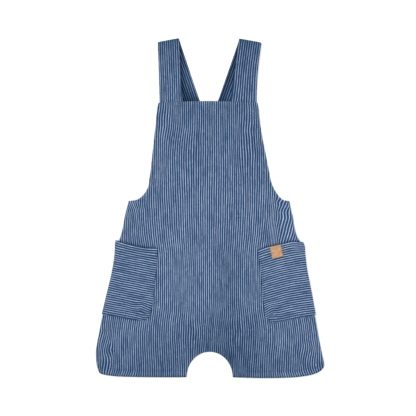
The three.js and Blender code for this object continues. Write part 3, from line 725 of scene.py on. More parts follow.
class Shader:
    """A material's node tree, filled by one method."""

    def __init__(self, name):
        self.material = bpy.data.materials.new(name)
        self.material.use_nodes = True
        self.tree = self.material.node_tree
        self.tree.nodes.clear()

    def node(self, kind, settings=None, inputs=None, output=0):
        """Adds a node: its settings first, then its sockets' values or links; returns the named output."""
        made = self.tree.nodes.new(kind)
        for key, setting in (settings or {}).items():
            setattr(made, key, setting)
        for key, value in (inputs or {}).items():
            if isinstance(value, Value):
                self.tree.links.new(value.socket, made.inputs[key])
            else:
                made.inputs[key].default_value = value
        return Value(self, made.outputs[output]) if made.outputs else None

    def math(self, operation, *values):
        return self.node("ShaderNodeMath", {"operation": operation}, dict(enumerate(values)))

    def join(self, x, y, z=0.0):
        return self.node("ShaderNodeCombineXYZ", inputs={0: x, 1: y, 2: z})

    def place(self):
        """The piece's own coordinates."""
        return self.node("ShaderNodeTexCoord", output="Object")

    def grain(self):
        """The cloth's own millimetres: across the stripes and along them."""
        both = self.node("ShaderNodeUVMap", {"uv_map": "grain"})
        across = self.node("ShaderNodeSeparateXYZ", inputs={0: both})
        return across, Value(self, across.socket.node.outputs[1])

    def noise(self, vector, scale=1.0, detail=2.0, roughness=0.5):
        inputs = {"Vector": vector, "Scale": scale, "Detail": detail, "Roughness": roughness}
        return self.node("ShaderNodeTexNoise", {"noise_dimensions": "3D"}, inputs)

    def blend(self, first, second, share):
        """Colour between first and second."""
        first, second = (each if isinstance(each, Value) else (*each, 1.0) for each in (first, second))
        return self.node("ShaderNodeMix", {"data_type": "RGBA"}, {0: share, 6: first, 7: second}, output=2)

    def ramp(self, value, low, high):
        """0 at low, 1 at high, with a smooth step between."""
        settings = {"interpolation_type": "SMOOTHSTEP"}
        return self.node("ShaderNodeMapRange", settings, {"Value": value, "From Min": low, "From Max": high})

    def bump(self, height, strength, distance):
        inputs = {"Strength": strength, "Distance": distance, "Height": height}
        return self.node("ShaderNodeBump", inputs=inputs)

    def finish(self, **inputs):
        """Ends the tree in a Principled BSDF with these sockets."""
        sockets = {key.replace("_", " "): value for key, value in inputs.items()}
        shader = self.node("ShaderNodeBsdfPrincipled", inputs=sockets)
        self.node("ShaderNodeOutputMaterial", inputs={"Surface": shader})
        return self.material


def linen_material(name):
    """Striped linen: uneven white stripes along the grain on blue, with slubs, flecks, streaks and weave.

    Noises of the whole cloth take the place across it, and those of single stripes take the stripe's number.
    """
    looks = cloth_settings()
    shader = Shader(name)
    across, length = shader.grain()

    def noise(kind, place):
        by_place, by_length, start, detail, roughness = LINEN_NOISES[kind]
        return shader.noise(shader.join(place * by_place, length * by_length, start), 1.0, detail, roughness)

    turns = (across + (noise("waver", across) - 0.5) * 0.5) / looks.stripe_pitch
    stripe = shader.math("FLOOR", turns)
    offset = abs((shader.math("FRACT", turns) - 0.5) * looks.stripe_pitch)
    weave, weft, warp = (noise(kind, across) for kind in ("weave", "weft", "warp"))
    half = looks.stripe_width * (0.3 + 0.4 * noise("swelling", stripe)) + 0.55 * (weave - 0.5)
    inside = 1 - shader.ramp(offset - half, -0.22, 0.22)
    slub = shader.ramp(noise("slub", stripe), 0.64, 0.74)
    fleck = shader.ramp(noise("fleck", stripe), 0.74, 0.79)
    white = shader.math("MINIMUM", inside * (2.2 * noise("strength", stripe) - 0.285 + 0.5 * slub), 1.0)
    heather = shader.ramp(0.4 * weft + 0.35 * warp + 0.25 * weave, 0.38, 0.66)
    ground = shader.blend(looks.ground_dark, looks.ground_light, heather)
    striped = shader.blend(ground, looks.stripe_colour, white)
    striped = shader.blend(striped, looks.fleck_colour, fleck * inside)
    # Painted shade and light carried on the pieces' points darken or lighten the colour, deepening its blue
    # where darker
    painted_shading = shader.node("ShaderNodeAttribute", {"attribute_name": "painted_shading"}, output="Fac")
    painted_shading_rgb = shader.join(painted_shading**1.3, painted_shading, painted_shading**0.82)
    painted_shaded = shader.node("ShaderNodeVectorMath", {"operation": "MULTIPLY"}, {0: striped, 1: painted_shading_rgb})
    height = 0.5 * weave + 0.3 * weft + 0.3 * warp + 0.35 * inside
    return shader.finish(
        Base_Color=painted_shaded, Roughness=0.8 + 0.12 * weave, Normal=shader.bump(height, 0.22, 0.00025),
        Sheen_Weight=0.03, Sheen_Tint=(*looks.sheen_colour, 1.0), Sheen_Roughness=0.5,
        Specular_IOR_Level=0.06,
    )


def leather_material(name):
    """Plain tan leather: a fine pebbled grain, darker towards the cut edges."""
    looks = cloth_settings()
    shader = Shader(name)
    cells = shader.node("ShaderNodeTexVoronoi", {"feature": "DISTANCE_TO_EDGE"},
                        {"Vector": shader.place(), "Scale": 1400.0})
    mottle = shader.noise(shader.place(), scale=340.0, detail=4.0, roughness=0.7)
    across, down = shader.grain()
    from_side = LABEL["width"] / 2 - abs(across)
    from_end = LABEL["height"] / 2 - abs(down - LABEL["height"] / 2)
    worn = shader.ramp(shader.math("MINIMUM", from_side, from_end), 0.0, 1.5)
    share = shader.ramp(mottle, 0.3, 0.62) * (0.55 + 0.45 * worn)
    height = shader.ramp(cells, 0.0, 0.12) * 0.5 + 0.5 * mottle
    return shader.finish(
        Base_Color=shader.blend(looks.leather_dark, looks.leather_light, share),
        Roughness=0.45 + 0.2 * mottle, Normal=shader.bump(height, 0.3, 0.0002),
    )


def thread_material(name, base):
    """Sewing thread: one dyed colour, broken up by its twist."""
    shader = Shader(name)
    twist = shader.noise(shader.place(), scale=2600.0, detail=1.0)
    dyed = shader.blend(tuple(0.6 * channel for channel in base), base, twist)
    return shader.finish(Base_Color=dyed, Roughness=0.7 + 0.1 * twist)


def linen():
    """The striped linen, made once."""
    return bpy.data.materials.get("striped_linen") or linen_material("striped_linen")


def steps_to(start, end, count):
    """Even steps from start to end, as many as the count, without start itself."""
    return np.linspace(start, end, count + 1)[1:]


def three_bands(v, left_edge, right_edge, steps):
    """x of each row's points: evenly over the left leg, the band over the arch and the right leg."""
    half = band_half(v)
    leg = steps_to(0.0, 1.0, steps["leg"])[None, :]
    left = mix(left_edge, ARCH["x"] - half, leg)
    middle = mix(ARCH["x"] - half, ARCH["x"] + half, steps_to(0.0, 1.0, steps["band"])[None, :])
    right = mix(ARCH["x"] + half, right_edge, leg)
    return np.concatenate([left_edge, left, middle, right], 1)


def open_arch(cells, rows, first, steps):
    """Takes the band's cells under the arch's shoulder out of a grid's marks."""
    cells[np.ix_(rows[1:] <= ARCH_SHOULDER_V + LEVEL, first + np.arange(steps["band"]))] = False


def body_rows(steps):
    """Heights of the rows from the hem to the arch's shoulder and on to the armhole's foot."""
    arch = steps_to(HEM_V, ARCH_SHOULDER_V, steps["arch"])
    return np.concatenate([[HEM_V], arch, steps_to(ARCH_SHOULDER_V, ARMHOLE_V, steps["above_arch"])])


def seam_steps():
    """Distances of the flat strip beneath, from the side fold to the seam."""
    return steps_to(0.0, SEAM_INSET, SEAM_STEPS)


def side_grid(side, v, turn, depth):
    """Side fold and seam strip: a half circle round the fold's middle, then level to the seam."""
    fold = side_fold(side, v)
    centre = fold - side * SIDE_RADIUS
    y = plan_y(fold, v)
    radius = SIDE_RADIUS - depth
    angle = math.pi * turn[None, :]
    wobble = 0.25 * rumple(y, y * 0.0 + side * 40.0, 9.0, 31) * np.sin(angle)
    round_x = centre + side * (radius + wobble) * np.sin(angle)
    round_z = under_z(centre, y) + SIDE_RADIUS + radius * np.cos(angle)
    strip_x = centre - side * seam_steps()[None, :]
    strip_z = under_z(strip_x, np.broadcast_to(y, strip_x.shape)) + depth
    x = np.concatenate([round_x, strip_x], 1)
    return xyz(x, np.broadcast_to(y, x.shape), np.concatenate([round_z, strip_z], 1))


def build_front():
    """Front: seam strip, left side fold, upper face in three bands, right side fold, seam strip.

    The upper face runs from edge to edge with its height from cloth_top_z. A side fold is a half circle whose
    middle rides the side fold's line. The strip beneath is flat. Both end at the armhole's foot.
    """
    bib_rows = steps_to(FOOT_ROWS[-1], BIB_TOP_V, FRONT_STEPS["bib"])
    rows = np.concatenate([body_rows(FRONT_STEPS), FOOT_ROWS, bib_rows])
    turn = steps_to(0.0, 1.0, FRONT_STEPS["turn"])
    v = rows[:, None]
    face_x = three_bands(v, top_edge(-1, v), top_edge(1, v), FRONT_STEPS)
    face_y = plan_y(face_x, np.broadcast_to(v, face_x.shape))
    face_z = cloth_top_z(face_x, face_y)
    layers = []
    for depth in (0.0, CLOTH):
        left, right = (side_grid(side, v, turn, depth) for side in (-1, 1))
        layers.append(np.concatenate([left[:, ::-1], xyz(face_x, face_y, face_z - depth), right], 1))
    face_grain = np.stack([body_grain(face_x, face_y), face_y], -1)
    reach = np.concatenate([turn * math.pi * SIDE_RADIUS, math.pi * SIDE_RADIUS + seam_steps()])
    reach = reach[None, :, None] * np.array([1.0, 0.0])
    grain = np.concatenate([(face_grain[:, :1] - reach)[:, ::-1], face_grain, face_grain[:, -1:] + reach], 1)
    wrap = len(turn) + len(seam_steps())
    cells = all_cells(layers[0])
    cells[rows[1:] > ARMHOLE_V + LEVEL, :wrap] = False
    cells[rows[1:] > ARMHOLE_V + LEVEL, -wrap:] = False
    open_arch(cells, rows, wrap + FRONT_STEPS["leg"], FRONT_STEPS)
    x, y = layers[0][..., 0], layers[0][..., 1]
    # Painted shade and light of the body, with painted shadows round the pockets and the hem's painted shade
    # and light
    painted_shading = painted_shading_at(BODY_PAINTED_SHADING, x, y) * pocket_shade(x, y) * hem_shade(x, y)
    return wall_mesh("front_cloth", *layers, grain, cells, painted_shading)


def build_back():
    """Back: one flat panel between the seams, with the front's arch and hem, and creases that lift off."""
    rows = body_rows(BACK_STEPS)
    v = rows[:, None]
    reach = SIDE_RADIUS + SEAM_INSET + SEAM_GAP
    left_edge, right_edge = (side_fold(side, v) - side * reach for side in (-1, 1))
    x = three_bands(v, left_edge, right_edge, BACK_STEPS)
    full_v = np.broadcast_to(v, x.shape)
    side = side_of(x)
    from_seam = np.abs(x - np.where(side < 0, left_edge, right_edge))
    seam_y = plan_y(side_fold(side, full_v), full_v)
    in_share = 1 - ((x - ARCH["x"]) / right_edge) ** 2
    rise = BACK_TOP["rise"] * in_share * ease((v - ARMHOLE_V + BACK_TOP["ease"]) / BACK_TOP["ease"])
    y = mix(plan_y(x, full_v), seam_y, 1 - ease(from_seam / BACK_TOP["seam_ease"])) + rise
    inner_share = ease(from_seam / BACK_SEAM_EASE) * ease(arch_distance(x, y) / BACK_ARCH_EASE)
    crease = (folds_z(BACK_FOLDS, x, y) + 0.14 * (1 + rumple(x, y * 0.5, 16.0, 41))) * inner_share
    z = under_z(x, y) + crease
    cells = all_cells(x)
    open_arch(cells, rows, BACK_STEPS["leg"], BACK_STEPS)
    grain = np.stack([x + rumples(BACK_WAVER, x, y), y], -1)
    # The body's painted shade and light
    painted_shading = painted_shading_at(BODY_PAINTED_SHADING, x, y)
    return wall_mesh("back_cloth", xyz(x, y, z + CLOTH), xyz(x, y, z), grain, cells, painted_shading)


def pocket_z(pocket, x, y):
    """Outer face of a pocket's front half: the front's upper face moved out, its mouth standing off it."""
    lift = pocket["lift"]
    below = np.maximum(0.0, along(pocket["mouth"], x) - y)
    mouth = lift["height"] * bell(x - lift["x"], lift["spread"]) * bell(below, lift["ease"], 1)
    return front_z(x, y) + LAYER_GAP + CLOTH + mouth


def pocket_detail_z(pocket, x, y):
    """Finer relief of a pocket: the corner's diagonal pull, slight sags across and soft rumples."""
    cloth, side = cloth_settings(), pocket["side"]
    (start_x, start_y), (end_x, end_y) = pocket["tuck"]["from"], pocket["tuck"]["to"]
    middle_x, middle_y = (start_x + end_x) / 2, (start_y + end_y) / 2
    length = math.hypot(end_x - start_x, end_y - start_y)
    degrees = math.degrees(math.atan2(end_y - start_y, end_x - start_x))
    off_x, off_y = (end_y - start_y) / length, (start_x - end_x) / length
    pulls = [(middle_x + off * off_x, middle_y + off * off_y, degrees, length * share, width, rise)
             for off, share, width, rise in POCKET_PULLS]
    sags = [(middle_x + side * out, middle_y + up, side * turn, *size)
            for out, up, turn, *size in POCKET_SAGS]
    relief = rumples(POCKET_RUMPLES, x, y) * cloth.rumple_strength
    return folds_z(pulls + sags, x, y) * cloth.crease_strength + relief


def pocket_top_z(pocket, x, y, detail_share=1.0):
    """Outer face of a finished pocket's front half."""
    detail = pocket_detail_z(pocket, x, y) * detail_share
    return pocket_z(pocket, x, y) + detail + front_detail_z(x, y) * POCKET_FOLLOWS


def pocket_row_y(pocket, x, t):
    """Height of a pocket's row at x, from its bottom at t 0 to its mouth at t 1."""
    return mix(along(pocket["bottom"], x), along(pocket["mouth"], x), t)


def build_pocket(name):
    """Pocket: front half, half round about the side fold, then flat beneath, from its bottom to its mouth.

    Its stripes are worked out on the plan up to halfway round the fold, and go on evenly from there.
    """
    pocket = POCKETS[name]
    side = pocket["side"]
    t = np.linspace(0.0, 1.0, POCKET_STEPS["up"] + 1)[:, None]
    front = np.linspace(0.0, 1.0, POCKET_STEPS["front"] + 1)[None, :]
    turn = steps_to(0.0, 1.0, POCKET_STEPS["turn"])[None, :]
    back = steps_to(0.0, 1.0, POCKET_STEPS["back"])[None, :] * pocket["back_reach"]
    round_shape = (len(t), turn.shape[1])
    inner_x = along(pocket["inner_edge"], t)
    fold_y = pocket_row_y(pocket, np.full_like(t, side_fold(side, HEM_V)), t)
    centre = side_fold(side, fold_y) - side * (SIDE_RADIUS - along(pocket["bulges"], fold_y))
    outer_radius = SIDE_RADIUS + POCKET_LIFT
    front_x = mix(inner_x, centre, front)
    front_y = pocket_row_y(pocket, front_x, t)
    rim, sink_ease = POCKET_RIM, POCKET_RIM["sink_ease"]
    from_rim = np.minimum(front * rim["across"], np.minimum(t, 1 - t) * rim["up"])
    edge_share = ease(from_rim / rim["ease"]) * ease((1 - front) * rim["fold_share"])
    under_share = ease(np.abs(front_x - inner_x) / sink_ease) * ease(t * POCKET_HEIGHT / sink_ease)
    front_top = pocket_top_z(pocket, front_x, front_y, edge_share) - rim["sink"] * (1 - under_share)
    back_x = centre - side * back
    y = np.concatenate([front_y, np.broadcast_to(fold_y, round_shape), pocket_row_y(pocket, back_x, t)], 1)
    layers = []
    for depth in (0.0, CLOTH):
        radius = outer_radius - depth
        x = np.concatenate([front_x, centre + side * radius * np.sin(math.pi * turn), back_x], 1)
        round_z = np.broadcast_to(outer_radius + radius * np.cos(math.pi * turn), round_shape)
        z = np.concatenate([front_top - depth, round_z, np.full(back_x.shape, depth)], 1)
        layers.append(xyz(x, y, z))
    arc = math.pi * outer_radius
    flat_x = np.concatenate([front_x, centre + side * turn * arc, centre + side * (arc + back)], 1)
    x, y = layers[0][..., 0], layers[0][..., 1]
    seen = front_x.shape[1] + turn.shape[1] // 2
    across = pocket_grain(pocket, x[:, :seen], y[:, :seen])
    middle, slope, change = pocket["slope"]
    lean = slope + change * (side_fold(side, -110.0) - middle)
    beneath = across[:, -1:] + lean * (flat_x[:, seen:] - flat_x[:, seen - 1 : seen])
    grain = np.stack([np.concatenate([across, beneath], 1), flat_x], -1)
    # Painted shade along the tuck and a painted highlight along the mouth's lip, over the pocket's painted
    # light
    beyond, share = tuck_line(pocket["tuck"], x, y)
    tuck_painted_shade = 1 - TUCK_PAINTED_SHADE["amount"] * bell(beyond, TUCK_PAINTED_SHADE["reach"]) * np.minimum(1, share * 2)
    below_lip = (1 - t) * POCKET_HEIGHT - MOUTH_PAINTED_HIGHLIGHT["below"]
    lip_painted_highlight = 1 + MOUTH_PAINTED_HIGHLIGHT["amount"] * bell(below_lip, MOUTH_PAINTED_HIGHLIGHT["reach"])
    painted_shading = painted_shading_at(POCKET_PAINTED_LIGHT, x, y) * tuck_painted_shade * lip_painted_highlight
    return wall_mesh(name + "_cloth", *layers, grain, all_cells(x), painted_shading)


def strap_front_z(x, y):
    """Middle of a strap's front run: just behind the bib, then easing up to its height at the shoulder."""
    behind = front_z(x, np.minimum(y, BIB_TOP_V - 3)) - CLOTH - LAYER_GAP - STRAP_CLOTH / 2
    return mix(behind, STRAP_TOP_Z, ease((y - BIB_TOP_V - 2) / STRAP_RISE))


def strap_frame(name, across, step):
    """Middle surface of a strap at across (0 outer, 1 inner edge) and step (0 front end, 3 back end).

    Steps 0 to 1 run straight up the front, 1 to 2 go round a half circle at the shoulder, and 2 to 3 run
    straight down the back. Returns the points, the unit direction of the upper or outer side, and the length.
    """
    strap = STRAPS[name]
    fold_x, fold_y = (mix(strap["fold_a"][k], strap["fold_b"][k], across) for k in (0, 1))
    low_x, low_y = (mix(strap["front_a"][k], strap["front_b"][k], across) for k in (0, 1))
    start_y = fold_y - STRAP_ROLL - STRAP_CLOTH / 2
    front_y = mix(STRAP_END_V, start_y, np.clip(step, 0, 1))
    share = (front_y - low_y) / (fold_y - low_y)
    bow = strap["front_bow"] * (1 - across) * np.sin(math.pi * np.clip(share, 0, 1))
    front_x = mix(low_x, fold_x, share) + bow
    back_y = mix(start_y, STRAP_BACK_END_Y, np.clip(step - 2, 0, 1))
    back_x = fold_x + strap["back_slope"] * (back_y - start_y)
    angle = math.pi * np.clip(step - 1, 0, 1)
    round_z = STRAP_CLOTH / 2 + STRAP_ROLL * (1 + np.cos(angle))

    def run_of(front, turn, back):
        return np.where(step <= 1, front, np.where(step < 2, turn, back))

    x = run_of(front_x, fold_x, back_x)
    y = run_of(front_y, start_y + STRAP_ROLL * np.sin(angle), back_y)
    z = run_of(strap_front_z(front_x, front_y), round_z, along(strap["back_heights"], back_y))
    length = run_of(front_y, start_y + angle * STRAP_ROLL, start_y + math.pi * STRAP_ROLL + start_y - back_y)
    return xyz(x, y, z), xyz(np.zeros_like(x), np.sin(angle), np.cos(angle)), length


def build_strap(name):
    """Strap of double cloth: its middle surface moved out both ways by half the thickness."""
    strap = STRAPS[name]
    seed = strap["seed"]
    runs = [steps_to(k, k + 1, STRAP_STEPS[run]) for k, run in enumerate(("front", "turn", "back"))]
    steps = np.concatenate([[0.0], *runs])
    across, step = np.meshgrid(np.linspace(0, 1, STRAP_STEPS["across"] + 1), steps)
    middle, up, length = strap_frame(name, across, step)
    x, y = middle[..., 0], middle[..., 1]
    above_bib = y - BIB_TOP_V
    rim = ease(np.minimum(across, 1 - across) * STRAP_WIDTH / 3.0)
    relief = 0.22 * rumple(x, length * 0.5, 12.0, seed) + 0.1 * rumple(x, length, 6.0, seed + 1)
    on_front = np.where(step < 1, rim * ease((above_bib - 2) / 10), 0.0)
    relief = relief * cloth_settings().rumple_strength * on_front
    half = STRAP_CLOTH / 2 * (0.62 + 0.38 * rim)
    width = mix(*STRAP_GRAIN_WIDTHS, ease(1 - step))
    waver = 0.35 * rumple(across * 30, length * 0.5, 14.0, seed + 2)
    grain = np.stack([across * width + waver, length], -1)
    # Painted shade on the back run where the front run shades it, lighter towards the left strap's inner edge
    # and darker towards the right's; the back run's underside gets a slight painted shade
    low_painted_shade, high_painted_shade, edge_gain, edge_at, edge_reach = strap["back_painted_shades"]
    at_edge = ease((across - 0.4) / 0.6) * bell(above_bib - edge_at, edge_reach)
    back_painted_shade = mix(low_painted_shade, high_painted_shade, ease(above_bib / 80)) * (1 + edge_gain * at_edge)
    front_painted_shading = painted_shading_at(STRAP_PAINTED_SHADING, x, y) * strap["painted_shading"]
    on_back = ease((step - 1.5) * 2)
    return wall_mesh(name + "_cloth", middle + up * (half + relief)[..., None],
                     middle - up * (half - relief)[..., None], grain, all_cells(across),
                     mix(front_painted_shading, 0.95, on_back), mix(front_painted_shading, back_painted_shade, on_back))


def label_point(across, down):
    """Plan of the leather tab at its own millimetres, turned with the pocket's mouth."""
    turn = math.radians(LABEL["turn"])
    x = LABEL["x"] + across * math.cos(turn) + down * math.sin(turn)
    return x, LABEL["top"] + across * math.sin(turn) - down * math.cos(turn)


def build_label():
    """Leather tab: a small panel lying on the right pocket, its rim rounded down and its corners eased."""
    columns = np.linspace(-0.5, 0.5, LABEL_STEPS["across"] + 1)
    across, down = np.meshgrid(columns, np.linspace(1, 0, LABEL_STEPS["down"] + 1))
    round_in = 0.35 * (np.abs(across * 2) ** 12) * (np.abs(down * 2 - 1) ** 12)
    across_mm = across * (LABEL["width"] - 2 * round_in)
    down_mm = down * LABEL["height"] + round_in * np.sign(0.5 - down)
    x, y = label_point(across_mm, down_mm)
    base = pocket_z(POCKETS["pocket_right"], x, y) + LAYER_GAP
    rim = np.minimum(LABEL["width"] / 2 - np.abs(across_mm), np.minimum(down_mm, LABEL["height"] - down_mm))
    groove = 0.12 * bell(rim - LABEL["seam"], 0.35)
    top = base + LABEL["thick"] * (0.72 + 0.28 * ease(rim / 1.2)) + 0.12 * rumple(x, y, 5.0, 81) - groove
    own_mm = np.stack([across_mm, down_mm], -1)
    painted_shading = np.ones(across.shape)
    return wall_mesh("label_leather", xyz(x, y, top), xyz(x, y, base), own_mm, all_cells(across), painted_shading)


def stitch_mesh(name, runs, length, gap, radius):
    """Rows of running stitches: each run is a path of points, and each stitch a slim spindle laid on it.

    A stitch's middle line is cut from the path at even spacing; round it stand rings of five points whose
    radius is a half sine, closed by a point at either end, and it bows up slightly off the cloth.
    """
    rings, sides = 4, 5
    swell = radius * np.sin(np.linspace(0.18, math.pi - 0.18, rings)) ** 0.6
    turns = np.arange(sides)[None, :, None] * 2 * math.pi / sides
    ring = 1 + np.arange(rings * sides).reshape(rings, sides)
    after = np.roll(ring, -1, axis=1)
    quads = np.stack([ring[:-1], after[:-1], after[1:], ring[1:]], -1).reshape(-1, 4)
    start_cap = np.stack([np.zeros(sides, int), after[0], ring[0]], -1)
    end_cap = np.stack([np.full(sides, rings * sides + 1), ring[-1], after[-1]], -1)
    caps = np.concatenate([start_cap, end_cap])
    points, faces, total = [], [], 0
    for path in runs:
        step = np.linalg.norm(np.diff(path, axis=0), axis=1)
        reach = np.concatenate([[0.0], np.cumsum(step)])
        starts = np.arange(gap / 2, reach[-1] - length, length + gap)
        at = starts[:, None] + np.linspace(0, 1, rings + 2)[None, :] * length
        spine = xyz(*(np.interp(at, reach, path[:, k]) for k in range(3)))
        spine[..., 2] += 0.1 + 0.12 * np.sin(np.linspace(0, math.pi, rings + 2))[None, :]
        ahead = unit(spine[:, -1] - spine[:, 0])
        beside = unit(np.cross(ahead, np.array([0.0, 0.0, 1.0])))
        above = np.cross(beside, ahead)
        round_it = np.cos(turns) * beside[:, None] + np.sin(turns) * above[:, None]
        body = spine[:, 1:-1, None] + swell[None, :, None, None] * round_it[:, None]
        each = np.concatenate([spine[:, :1], body.reshape(len(starts), -1, 3), spine[:, -1:]], 1)
        points.append(each.reshape(-1, 3))
        base = total + np.arange(len(starts))[:, None, None] * each.shape[1]
        for shape in (quads, caps):
            faces += (base + shape).reshape(-1, shape.shape[1]).tolist()
        total += len(points[-1])
    return mesh_object(name, np.concatenate(points) * MM, faces)


def body_stitch_runs():
    """Paths of the hems, the bib's top and the armhole edges, on the front's upper face."""
    reach = ARCH["half_width"] + 1.5
    paths = []
    for start, end in ((-176.0, ARCH["x"] - reach), (ARCH["x"] + reach, 176.0)):
        x = np.linspace(start, end, 160)
        paths.append((x, HEM_V + along(HEM_RISES, x) + cloth_settings().hem_depth))
    x = np.linspace(-79.0, 72.5, 160)
    paths.append((x, plan_y(x, np.full_like(x, BIB_TOP_V)) - BIB_TOP_SEAM))
    for side in (-1, 1):
        v = np.linspace(ARMHOLE_V + 1.5, BIB_TOP_V - BIB_TOP_SEAM, 240)
        x = top_edge(side, v) - side * ARMHOLE_SEAM
        shift = np.gradient(top_edge(side, v), v)
        paths.append((x, plan_y(x, v) - ARMHOLE_SEAM * np.abs(shift) / np.hypot(1.0, shift) * 0.9))
    return [xyz(x, y, cloth_top_z(x, y)) for x, y in paths]


def pocket_stitch_runs():
    """Paths along both pockets' inner edges, bottoms and mouths."""
    runs = []
    for pocket in POCKETS.values():
        side = pocket["side"]
        t = np.linspace(0.03, 0.97, 90)
        x = along(pocket["inner_edge"], t) + side * POCKET_SEAM
        paths = [(x, pocket_row_y(pocket, x, t))]
        corner = along(pocket["inner_edge"], 0.0)
        x = np.linspace(corner + side * 3.5, side_fold(side, -170.0) - side * 6, 70)
        for share, fold_y in ((0.02, -170.0), (0.89, -60.0)):
            row_x = x + (along(pocket["inner_edge"], share) - corner) * np.linspace(1, 0, len(x))
            row_x = np.minimum(np.abs(row_x), np.abs(side_fold(side, fold_y)) - 4) * side
            paths.append((row_x, pocket_row_y(pocket, row_x, share)))
        runs += [xyz(x, y, pocket_top_z(pocket, x, y)) for x, y in paths]
    return runs


def strap_stitch_runs():
    """Paths along both edges of each strap's front run, on top, and back run, underneath."""
    runs = []
    for name in STRAPS:
        for inset in (STRAP_SEAM_SHARE, 1 - STRAP_SEAM_SHARE):
            for first, last, face in ((0.16, 1.0, 1), (2.0, 2.98, -1)):
                step = np.linspace(first, last, 200)
                middle, _, _ = strap_frame(name, np.full_like(step, inset), step)
                runs.append(middle + np.array([0, 0, face]) * STRAP_CLOTH / 2)
    return runs


def label_stitch_runs():
    """Path round the leather tab, inside its rim."""
    seam = LABEL["seam"]
    half, low = LABEL["width"] / 2 - seam, LABEL["height"] - seam
    corners = np.array([(-half, seam), (half, seam), (half, low), (-half, low), (-half, seam)])
    across, down = (np.interp(np.linspace(0, 4, 161), range(5), corners[:, k]) for k in (0, 1))
    x, y = label_point(across, down)
    return [xyz(x, y, pocket_z(POCKETS["pocket_right"], x, y) + LAYER_GAP + LABEL["thick"] - 0.1)]


def dress(piece, finish, slot, *nodes):
    """Gives a piece its material and its body, and hides the solids that it stands for; its slot is not used.
    """
    piece.data.materials.append(finish)
    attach(piece, BODY)
    if nodes:
        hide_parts(*nodes)


def number(name, description, default, least=0.0, unit="NONE"):
    """A size or a strength in the panel."""
    return FloatProperty(name=name, description=description, default=default, min=least, unit=unit)


def tint(name, description, default):
    """A colour in the panel."""
    return FloatVectorProperty(name=name, description=description, subtype="COLOR", default=default)


class ShortallsCloth(bpy.types.PropertyGroup):
    """Sizes and colours of the cloth, its stripes, its creases and its sewing."""

    stripe_pitch: number("Stripe pitch", "Distance between stripes, in mm", 3.5, 1.0)
    stripe_width: number("Stripe width", "Mean width of a stripe, in mm", 0.92, 0.2)
    crease_strength: number("Creases", "Strength of the small creases", 1.0)
    rumple_strength: number("Rumples", "Strength of the soft rumples", 1.0)
    hem_depth: number("Hem depth", "Depth of the legs' turned hem, in mm", 11.0, 2.0)
    stitch_length: number("Stitch", "Length of one stitch, in mm", 2.6, 1.0)
    stitch_gap: number("Stitch gap", "Space between stitches, in mm", 0.9, 0.1)
    thread_radius: number("Thread", "Radius of the sewing thread, in mm", 0.22, 0.05)
    ground_dark: tint("Dark ground", "Blue of the ground's warp", (0.007, 0.034, 0.100))
    ground_light: tint("Light ground", "Blue where white weft shows", (0.022, 0.070, 0.172))
    stripe_colour: tint("Stripe", "Colour of the white yarn", (0.392, 0.475, 0.605))
    fleck_colour: tint("Flecks", "Colour of the thick places in the white yarn", (0.62, 0.68, 0.76))
    sheen_colour: tint("Sheen", "Colour of the fine nap seen from the side", (0.3, 0.45, 0.8))
    leather_light: tint("Light leather", "Leather tab, light", (0.54, 0.31, 0.155))
    leather_dark: tint("Dark leather", "Leather tab, dark", (0.34, 0.175, 0.08))
    thread_colour: tint("Thread", "Blue sewing thread", (0.08, 0.13, 0.25))
    tab_thread_colour: tint("Tab thread", "Tan sewing thread", (0.5, 0.31, 0.18))


class ShortallsStudio(bpy.types.PropertyGroup):
    """Camera and light of the picture."""

    lens: number("Lens", "Focal length of the camera, in mm", 100, 20.0, "CAMERA")
    key_power: number("Key light", "Power of the main soft light, in W", 42, unit="POWER")
    fill_power: number("Fill light", "Power of the second soft light, in W", 6, unit="POWER")
    dome: number("Dome", "Brightness of the even light all round", 0.9)
    floor_glow: number(
        "Floor glow", "Light that the pale table gives off itself, which keeps its shadows faint", 0.15
    )
    floor_colour: tint("Floor", "Colour of the table", (0.97, 0.97, 0.97))


class SHORTALLS_OT_body(bpy.types.Operator):
    """Build the front and the back of striped linen"""

    bl_idname = "shortalls.body"
    bl_label = "Front and back"

    def execute(self, context):
        front = build_front()
        dress(front, linen(), "body_linen", "front_body")
        back = build_back()
        dress(back, linen(), "body_linen", "back_body")
        return {"FINISHED"}


class SHORTALLS_OT_pockets(bpy.types.Operator):
    """Build both side pockets, with the stripes across"""

    bl_idname = "shortalls.pockets"
    bl_label = "Pockets"

    def execute(self, context):
        for name in POCKETS:
            pocket = build_pocket(name)
            dress(pocket, linen(), "pocket_linen", name)
        return {"FINISHED"}


class SHORTALLS_OT_straps(bpy.types.Operator):
    """Build both shoulder straps, folded over at the shoulder"""

    bl_idname = "shortalls.straps"
    bl_label = "Straps"

    def execute(self, context):
        for name in STRAPS:
            strap = build_strap(name)
            dress(strap, linen(), "strap_linen", name)
        return {"FINISHED"}


class SHORTALLS_OT_label(bpy.types.Operator):
    """Build the plain leather tab on the right pocket"""

    bl_idname = "shortalls.label"
    bl_label = "Leather tab"

    def execute(self, context):
        dress(build_label(), leather_material("tan_leather"), "label_leather", "label")
        return {"FINISHED"}


class SHORTALLS_OT_stitches(bpy.types.Operator):
    """Sew the hems, edges, pockets, straps and tab"""

    bl_idname = "shortalls.stitches"
    bl_label = "Stitches"

    def execute(self, context):
        cloth = cloth_settings()
        blue = thread_material("blue_thread", tuple(cloth.thread_colour))
        tan = thread_material("tan_thread", tuple(cloth.tab_thread_colour))
        sets = [
            ("stitches_body", body_stitch_runs(), blue, "body_linen"),
            ("stitches_pockets", pocket_stitch_runs(), blue, "pocket_linen"),
            ("stitches_straps", strap_stitch_runs(), blue, "strap_linen"),
            ("stitches_label", label_stitch_runs(), tan, "label_leather"),
        ]
        for name, runs, thread, slot in sets:
            sewn = stitch_mesh(name, runs, cloth.stitch_length, cloth.stitch_gap, cloth.thread_radius)
            dress(sewn, thread, slot)
        return {"FINISHED"}


